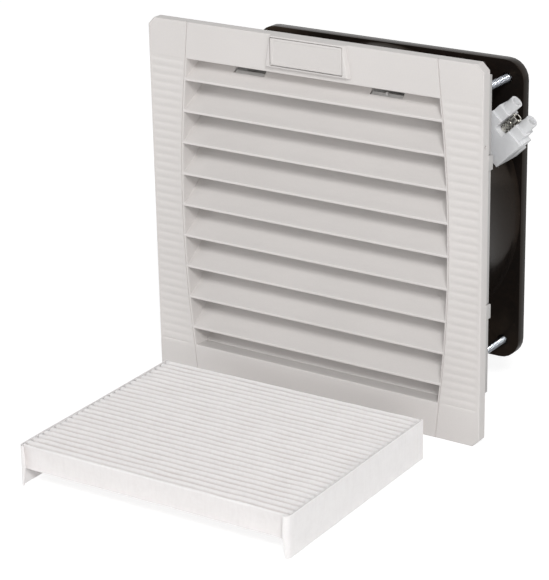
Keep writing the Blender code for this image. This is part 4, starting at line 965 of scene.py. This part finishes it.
def add_badge(finish):
    plate = add_box("bare_badge_plate", BADGE_LOW, BADGE_HIGH)
    choose(plate, lambda centre, normal: normal.y < -FLAT_LIMIT)
    bpy.ops.mesh.inset(thickness=BADGE_FRAME, depth=0)
    bpy.ops.mesh.inset(thickness=BADGE_STEP, depth=-BADGE_STEP)
    leave()
    bevel_all(plate, BADGE_EDGE, 3, 50)
    smooth(plate)
    return finish_piece(plate, finish, "cover", "badge_plate")


# Filter mat

def on_floor(point):
    turned = Matrix.Rotation(math.radians(MAT_TURN), 3, "Z") @ Vector(point)
    return turned + Vector((MAT_SHIFT[0], MAT_SHIFT[1], 0))


def stray(x, y, kind, other=0):
    """A gentle, repeatable unevenness; another start gives another pattern of the same kind."""
    height, length, start = kind
    return height * noise.noise(Vector((x / length, y / length, start + other)))


def sheet_from_grid(name, columns, rows, place, wall):
    """A grid whose points are placed by the given rule, given a wall to both sides."""
    deselect()
    bpy.ops.mesh.primitive_grid_add(x_subdivisions=columns, y_subdivisions=rows, size=1)
    piece = newest(name)
    for vertex in piece.data.vertices:
        vertex.co = place(vertex.co.x + 0.5, vertex.co.y + 0.5)
    thicken = piece.modifiers.new("wall", "SOLIDIFY")
    thicken.thickness = wall
    thicken.offset = 0
    apply_change(piece, thicken)
    return smooth(piece, 48)


def add_pleats(settings, finish):
    """One fleece folded to and fro: a leaf at each end, crests and valleys between, ends pressed flat."""
    leaf, pleats = LEAF_ROWS, settings.pleats
    rows = pleats * PLEAT_ROWS + 2 * leaf
    pitch = MAT_LENGTH / pleats
    top = MAT_TOP - CREST_SINK
    bottom = MAT_TOP - settings.pack + VALLEY_RISE

    def place_leaf(x, step):
        back = step < leaf
        drop = (leaf - step) / leaf if back else (step - rows + leaf) / leaf
        z = top + (bottom - VALLEY_RISE - top) * drop
        bow = LEAF_BOW * math.sin(math.pi * drop) + stray(x, z, LEAF_STRAY, back)
        y = -bow if back else -MAT_LENGTH + bow
        return on_floor((x, y, z + stray(x, 0, LIP_STRAY) * drop))

    def place(u, v):
        x = MAT_HALF * (2 * u - 1)
        step = round(v * rows)
        if step < leaf or step > rows - leaf:
            return place_leaf(x, step)
        along = (step - leaf) / (rows - 2 * leaf) * pleats
        crest = abs(math.cos(math.pi * along)) ** PLEAT_POWER
        sealed = smooth_step((abs(x) - MAT_HALF + SEAL_RUN) / SEAL_FADE)
        crest = crest * (1 - sealed) + (SEAL_LEVEL + (1 - SEAL_LEVEL) * crest) * sealed
        fold = round(along)
        z = bottom + (top - bottom) * crest + stray(x, fold * pitch, CREST_STRAY) * crest
        y = -along * pitch + stray(x, fold * pitch, PLEAT_STRAY)
        if fold in (0, pleats):
            y = max(-MAT_LENGTH + END_PLAY, min(-END_PLAY, y))
        return on_floor((x, y, z))

    piece = sheet_from_grid("pleated_mat", MAT_COLUMNS, rows, place, FLEECE_WALL)
    outward(piece)
    return finish_piece(piece, finish, "filter_mat", "filter_pleats")


def add_band(side, finish):
    """A strip of fleece on edge along the pleats' ends, its front end folded inwards."""
    word = "left" if side < 0 else "right"
    low, high = FLOOR_Z + BAND_GAP, MAT_TOP - BAND_SINK

    def place(u, v):
        y = BAND_START + (BAND_END - BAND_START) * min(1.0, v / BAND_FOLD_SHARE)
        z = low + (high - low) * u
        x = side * (BAND_X + stray(y, z, BAND_STRAY, side))
        droop = stray(y, 0, DROOP_STRAY, side) * (1 - u)
        if v > BAND_FOLD_SHARE:
            turn = (v - BAND_FOLD_SHARE) / (1 - BAND_FOLD_SHARE) * BAND_TURN
            reach = BAND_REACH * (1 + smooth_step(u * BAND_FLARE)) + BAND_RIPPLE * math.sin(BAND_RIPPLES * u)
            x -= side * reach * (1 - math.cos(turn))
            y = BAND_END - BAND_FOLD * math.sin(turn)
        return on_floor((x, y, max(low, z + droop)))

    piece = sheet_from_grid("mat_band_" + word, BAND_ROWS, BAND_COLUMNS, place, BAND_WALL)
    outward(piece)
    return finish_piece(piece, finish, "filter_mat", "filter_band_" + word)


# Fan, guard, screws and terminal block

def ring(name, radius, y, x=0.0, z=0.0, steps=72):
    deselect()
    bpy.ops.mesh.primitive_torus_add(major_radius=radius, minor_radius=GUARD_WIRE,
                                     major_segments=steps, minor_segments=12,
                                     location=(x, y, z), rotation=(math.radians(90), 0, 0))
    return settle(newest(name))


def add_guard(finish):
    """Welded wire rings on four legs that end in eyes for the screws."""
    pieces = [ring("ring", GUARD_REACH * share, GUARD_BACK - GUARD_WIRE) for share in GUARD_RINGS]
    level = Vector((0, GUARD_LEG_Y, 0))
    for x in (-FAN_HOLE, FAN_HOLE):
        for z in (-FAN_HOLE, FAN_HOLE):
            unit = Vector((x, 0, z)).normalized()
            start = unit * (GUARD_REACH * GUARD_RINGS[0] - GUARD_LEG_LAP) + level
            end = unit * GUARD_LEG_END + level
            pieces.append(add_rod("leg", start, end, GUARD_WIRE, 12))
            pieces.append(ring("eye", GUARD_EYE, GUARD_LEG_Y, x, z, 32))
    guard = smooth(merge(pieces, "wire_guard"), 60)
    return finish_piece(guard, finish, "base", "finger_guard")


# Stage

def larger(tree, first, second):
    made = add_node(tree, "ShaderNodeMath", operation="MAXIMUM")
    tree.links.new(first, made.inputs[0])
    tree.links.new(second, made.inputs[1])
    return made.outputs["Value"]


def light_room(scene, white, ambient):
    """A plain white room to the eye, whose light comes less from above than from the sides."""
    world = scene.world or bpy.data.worlds.new("studio")
    scene.world = world
    world.use_nodes = True
    tree = world.node_tree
    background = tree.nodes.get("Background")
    background.inputs["Color"].default_value = (*white, 1.0)
    path = add_node(tree, "ShaderNodeLightPath")
    seen = larger(tree, path.outputs["Is Camera Ray"], path.outputs["Is Transmission Ray"])
    shown = larger(tree, seen, path.outputs["Is Glossy Ray"])
    around = add_node(tree, "ShaderNodeSeparateXYZ")
    direction = add_node(tree, "ShaderNodeTexCoord").outputs["Generated"]
    tree.links.new(direction, around.inputs["Vector"])
    sky = add_node(tree, "ShaderNodeMapRange", interpolation_type="SMOOTHSTEP")
    sky.inputs["To Min"].default_value = ambient
    sky.inputs["To Max"].default_value = ambient * OVERHEAD
    tree.links.new(around.outputs["Z"], sky.inputs["Value"])
    strength = add_node(tree, "ShaderNodeMix", data_type="FLOAT")
    tree.links.new(shown, strength.inputs["Factor"])
    tree.links.new(sky.outputs["Result"], strength.inputs["A"])
    strength.inputs["B"].default_value = 1.0
    tree.links.new(strength.outputs["Result"], background.inputs["Strength"])


def lay_floor(white):
    deselect()
    bpy.ops.mesh.primitive_plane_add(size=6, location=(0, 0, FLOOR_Z - 0.1 * MM))
    floor = settle(newest("studio_floor"))
    made, tree, shader, place = start_material("studio_floor", 0.9, Specular_IOR_Level=0.0)
    effect = group_node(tree, moulded_grain, place, Grain=60.0)
    colour_ramp(tree, effect.outputs["Tone"],
                [(0.7, shaded(white, 0.45)), (1.0, shaded(white, 0.46))],
                shader.inputs["Base Color"])
    path = add_node(tree, "ShaderNodeLightPath")
    shader.inputs["Emission Color"].default_value = (*white, 1.0)
    spread(tree, path.outputs["Is Camera Ray"], FLOOR_GLOW, FLOOR_GLOW_SEEN,
           shader.inputs["Emission Strength"])
    floor.data.materials.append(made)


def hang_lamps(scene, key_power):
    for name, spot, size, share in LAMPS:
        lamp = bpy.data.lights.new(name, "AREA")
        lamp.shape = "DISK"
        lamp.size = size
        lamp.energy = key_power * share
        holder = bpy.data.objects.new(name, lamp)
        holder.location = spot
        holder.rotation_euler = (-Vector(spot)).to_track_quat("-Z", "Y").to_euler()
        scene.collection.objects.link(holder)


def set_camera(scene):
    """The camera at its fitted place, turned by its azimuth, elevation and roll."""
    camera = bpy.data.objects.new("photo_camera", bpy.data.cameras.new("photo_camera"))
    camera.data.lens = CAMERA_LENS
    camera.data.sensor_width = CAMERA_SENSOR
    camera.data.clip_start = 0.01
    turn, tilt = math.radians(CAMERA_AZIMUTH), math.radians(CAMERA_ELEVATION)
    away = Vector((-math.sin(turn) * math.cos(tilt), math.cos(turn) * math.cos(tilt), -math.sin(tilt)))
    right = Vector((math.cos(turn), math.sin(turn), 0))
    down = away.cross(right)
    roll = math.radians(CAMERA_ROLL)
    right, down = (right * math.cos(roll) + down * math.sin(roll),
                   down * math.cos(roll) - right * math.sin(roll))
    camera.matrix_world = Matrix((right, -down, -away)).transposed().to_4x4()
    camera.location = CAMERA_PLACE
    scene.collection.objects.link(camera)
    scene.camera = camera


class FILTERFAN_OT_stage(bpy.types.Operator):
    """Floor, backdrop, lamps and the camera at the photograph's view"""
    bl_idname = "filterfan.stage"
    bl_label = "Stage"

    def execute(self, context):
        scene = context.scene
        settings = scene.filterfan_stage
        white = tuple(settings.backdrop)
        scene.view_settings.view_transform = "Standard"
        light_room(scene, white, settings.ambient)
        lay_floor(white)
        hang_lamps(scene, settings.key_power)
        set_camera(scene)
        return DONE


# Pieces

class FILTERFAN_OT_cover(bpy.types.Operator):
    """Louvred cover with rippled side panels, slats, latch slots and the bare badge plate"""
    bl_idname = "filterfan.cover"
    bl_label = "Louvred cover"

    def execute(self, context):
        settings = context.scene.filterfan_cover
        colour = tuple(settings.colour)
        add_cover(settings, plastic("cover_plastic", colour))
        add_badge(plastic("badge_plastic", shaded(colour, 0.97), 0.38, 900.0))
        return DONE


class FILTERFAN_OT_latches(bpy.types.Operator):
    """Sprung release tongues in the two slots"""
    bl_idname = "filterfan.latches"
    bl_label = "Latch tongues"

    def execute(self, context):
        finish = plastic("latch_plastic", (0.56, 0.55, 0.54), 0.45)
        for word in ("left", "right"):
            piece = merged_copy("latch_" + word, "release_tongue_" + word)
            for vertex in piece.data.vertices:
                if PAD_MIDDLE < vertex.co.y < PAD_FOOT:
                    vertex.co.y += PAD_DEEPENING
                    if vertex.co.z > PAD_LEVEL:
                        vertex.co.z += PAD_SLOPE * PAD_DEEPENING
            if word == "right":
                piece = combine(piece, add_box("rib", RIB_LOW, RIB_HIGH), "UNION")
            bevel_all(piece, LATCH_EDGE, 2)
            smooth(piece)
            finish_piece(piece, finish, word + "_latch", "latch_" + word)
        return DONE


class FILTERFAN_OT_base(bpy.types.Operator):
    """Base frame with its snap tongues and the foam gasket"""
    bl_idname = "filterfan.base"
    bl_label = "Base frame"

    def execute(self, context):
        finish = plastic("base_plastic", (0.52, 0.51, 0.50), 0.5, 1300.0)
        piece = softened("base_frame", "collar_frame", 0.2 * MM)
        finish_piece(piece, finish, "base", "base_frame")
        for side in ("left", "right"):
            for level in ("lower", "upper"):
                node = "panel_clip_" + side + "_" + level
                piece = softened(node, "snap_tongue_" + side + "_" + level, 0.15 * MM)
                finish_piece(piece, finish, "clip_" + side + "_" + level, node)
        gasket = softened("panel_gasket", "foam_gasket", 0.3 * MM)
        finish_piece(gasket, foam("seal_foam", (0.05, 0.05, 0.052)), "base", "panel_gasket")
        return DONE


class FILTERFAN_OT_fan(bpy.types.Operator):
    """Coated fan casting, impeller, motor pieces and the wire guard"""
    bl_idname = "filterfan.fan"
    bl_label = "Fan"

    def execute(self, context):
        settings = context.scene.filterfan_fan
        coat = coated_casting("black_coat", tuple(settings.colour), 0.22)
        piece = softened("fan_frame", "fan_casting", settings.edge, 3, 35)
        finish_piece(piece, coat, "base", "fan_frame")
        blades = softened("impeller", "blade_wheel", 0.25 * MM, 2, 45)
        finish_piece(blades, plastic("blade_plastic", (0.016, 0.016, 0.018), 0.38), "rotor", "impeller")
        add_guard(metal("guard_steel", (0.60, 0.62, 0.66), (0.42, 0.44, 0.48), 0.3))
        repaint("stator_core", banded("core_lamination", (0.30, 0.30, 0.32), (0.10, 0.10, 0.11),
                                      0.5 * MM, "Y", 0.9, 0.42))
        repaint("rotor_cup", metal("cup_steel", (0.42, 0.43, 0.45), (0.30, 0.30, 0.32), 0.35))
        repaint("stator_winding", banded("enamelled_copper", (0.52, 0.20, 0.07), (0.20, 0.06, 0.02),
                                         0.45 * MM, "Y", 0.75, 0.35))
        bearing = metal("bearing_steel", (0.68, 0.69, 0.70), (0.55, 0.56, 0.57), 0.18)
        for node in ("rotor_shaft", "shaft_clip", "bearing_front", "bearing_rear", "preload_washer"):
            repaint(node, bearing)
        return DONE


def repaint(node, finish):
    """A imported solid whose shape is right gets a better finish."""
    NODES[node].material_slots[0].material = finish


class FILTERFAN_OT_screws(bpy.types.Operator):
    """Long zinc-plated screws through the fan"""
    bl_idname = "filterfan.screws"
    bl_label = "Fan screws"

    def execute(self, context):
        # The dark bands are painted shade in the thread's grooves
        finish = banded("screw_thread", (0.88, 0.91, 0.96), (0.08, 0.10, 0.14), 1.0 * MM, "Y", 1.0, 0.22)
        for word in ("lower_left", "upper_left", "lower_right", "upper_right"):
            node = "fan_screw_" + word
            piece = softened(node, "long_screw_" + word, 0.12 * MM)
            finish_piece(piece, finish, "base", node)
        return DONE


class FILTERFAN_OT_terminal(bpy.types.Operator):
    """Milky terminal block with its clamps and the earth clamp between the poles"""
    bl_idname = "filterfan.terminal"
    bl_label = "Terminal block"

    def execute(self, context):
        finish = clear_moulding("milky_plastic", (0.85, 0.855, 0.87))
        body = softened("terminal_body", "terminal_moulding", 0.6 * MM, 3, 40)
        finish_piece(body, finish, "base", "terminal_body")
        bracket = softened("terminal_bracket", "terminal_foot", 0.35 * MM, 3)
        finish_piece(bracket, finish, "base", "terminal_bracket")
        clamp = softened("earth_clamp", "ringed_clamp", 0.12 * MM)
        # The bright bands are the clamp's metal colour; the dark bands between them are painted shade that
        # makes the rings read as highlights
        rings = banded("clamp_metal", (0.74, 0.72, 0.66), (0.10, 0.09, 0.075), 1.15 * MM, "Y", 1.0, 0.28)
        finish_piece(clamp, rings, "base", "earth_clamp")
        brass = metal("clamp_brass", (0.60, 0.50, 0.28), (0.42, 0.34, 0.18), 0.3)
        steel = metal("clamp_screw_steel", (0.60, 0.61, 0.63), (0.44, 0.45, 0.47), 0.3)
        for word in ("upper", "lower"):
            repaint("pole_clamp_" + word, brass)
        for word in ("upper", "lower", "earth"):
            repaint("clamp_screw_" + word, steel)
        return DONE


class FILTERFAN_OT_mat(bpy.types.Operator):
    """Pleated fleece mat with its two side bands"""
    bl_idname = "filterfan.mat"
    bl_label = "Filter mat"

    def execute(self, context):
        settings = context.scene.filterfan_mat
        colour = tuple(settings.colour)
        # The second colour is the painted shade of the fold valleys and the front leaf
        folded = fleece("pleated_fleece", colour, (0.70, 0.62, 0.60))
        flat = fleece("band_fleece", colour)
        add_pleats(settings, folded)
        for side in (-1, 1):
            add_band(side, flat)
        return DONE


class FILTERFAN_PT_panel(bpy.types.Panel):
    """Builds the filter fan piece by piece"""
    bl_idname = "FILTERFAN_PT_panel"
    bl_label = "Cabinet filter fan"
    bl_space_type = "VIEW_3D"
    bl_region_type = "UI"
    bl_category = "Filter fan"

    def draw(self, context):
        scene = context.scene
        groups = ((scene.filterfan_cover, ("colour", "ripple_count", "ripple_depth", "edge")),
                  (scene.filterfan_fan, ("colour", "edge")),
                  (scene.filterfan_mat, ("colour", "pleats", "pack")),
                  (scene.filterfan_stage, ("backdrop", "ambient", "key_power")))
        for settings, names in groups:
            box = self.layout.box()
            for name in names:
                box.prop(settings, name)
        for operator in OPERATORS:
            self.layout.operator(operator.bl_idname)


SETTINGS = (("filterfan_cover", CoverSettings), ("filterfan_fan", FanSettings),
            ("filterfan_mat", MatSettings), ("filterfan_stage", StageSettings))
OPERATORS = (FILTERFAN_OT_stage, FILTERFAN_OT_cover, FILTERFAN_OT_latches, FILTERFAN_OT_base,
             FILTERFAN_OT_fan, FILTERFAN_OT_screws, FILTERFAN_OT_terminal, FILTERFAN_OT_mat)


def register():
    for name, group in SETTINGS:
        bpy.utils.register_class(group)
        setattr(bpy.types.Scene, name, bpy.props.PointerProperty(type=group))
    for made in (*OPERATORS, FILTERFAN_PT_panel):
        bpy.utils.register_class(made)


def unregister():
    for made in (FILTERFAN_PT_panel, *reversed(OPERATORS)):
        bpy.utils.unregister_class(made)
    for name, group in reversed(SETTINGS):
        delattr(bpy.types.Scene, name)
        bpy.utils.unregister_class(group)


def main():
    register()
    bpy.ops.filterfan.stage()
    bpy.ops.filterfan.cover()
    bpy.ops.filterfan.latches()
    bpy.ops.filterfan.base()
    bpy.ops.filterfan.fan()
    bpy.ops.filterfan.screws()
    bpy.ops.filterfan.terminal()
    bpy.ops.filterfan.mat()


if __name__ == "__main__":
    main()
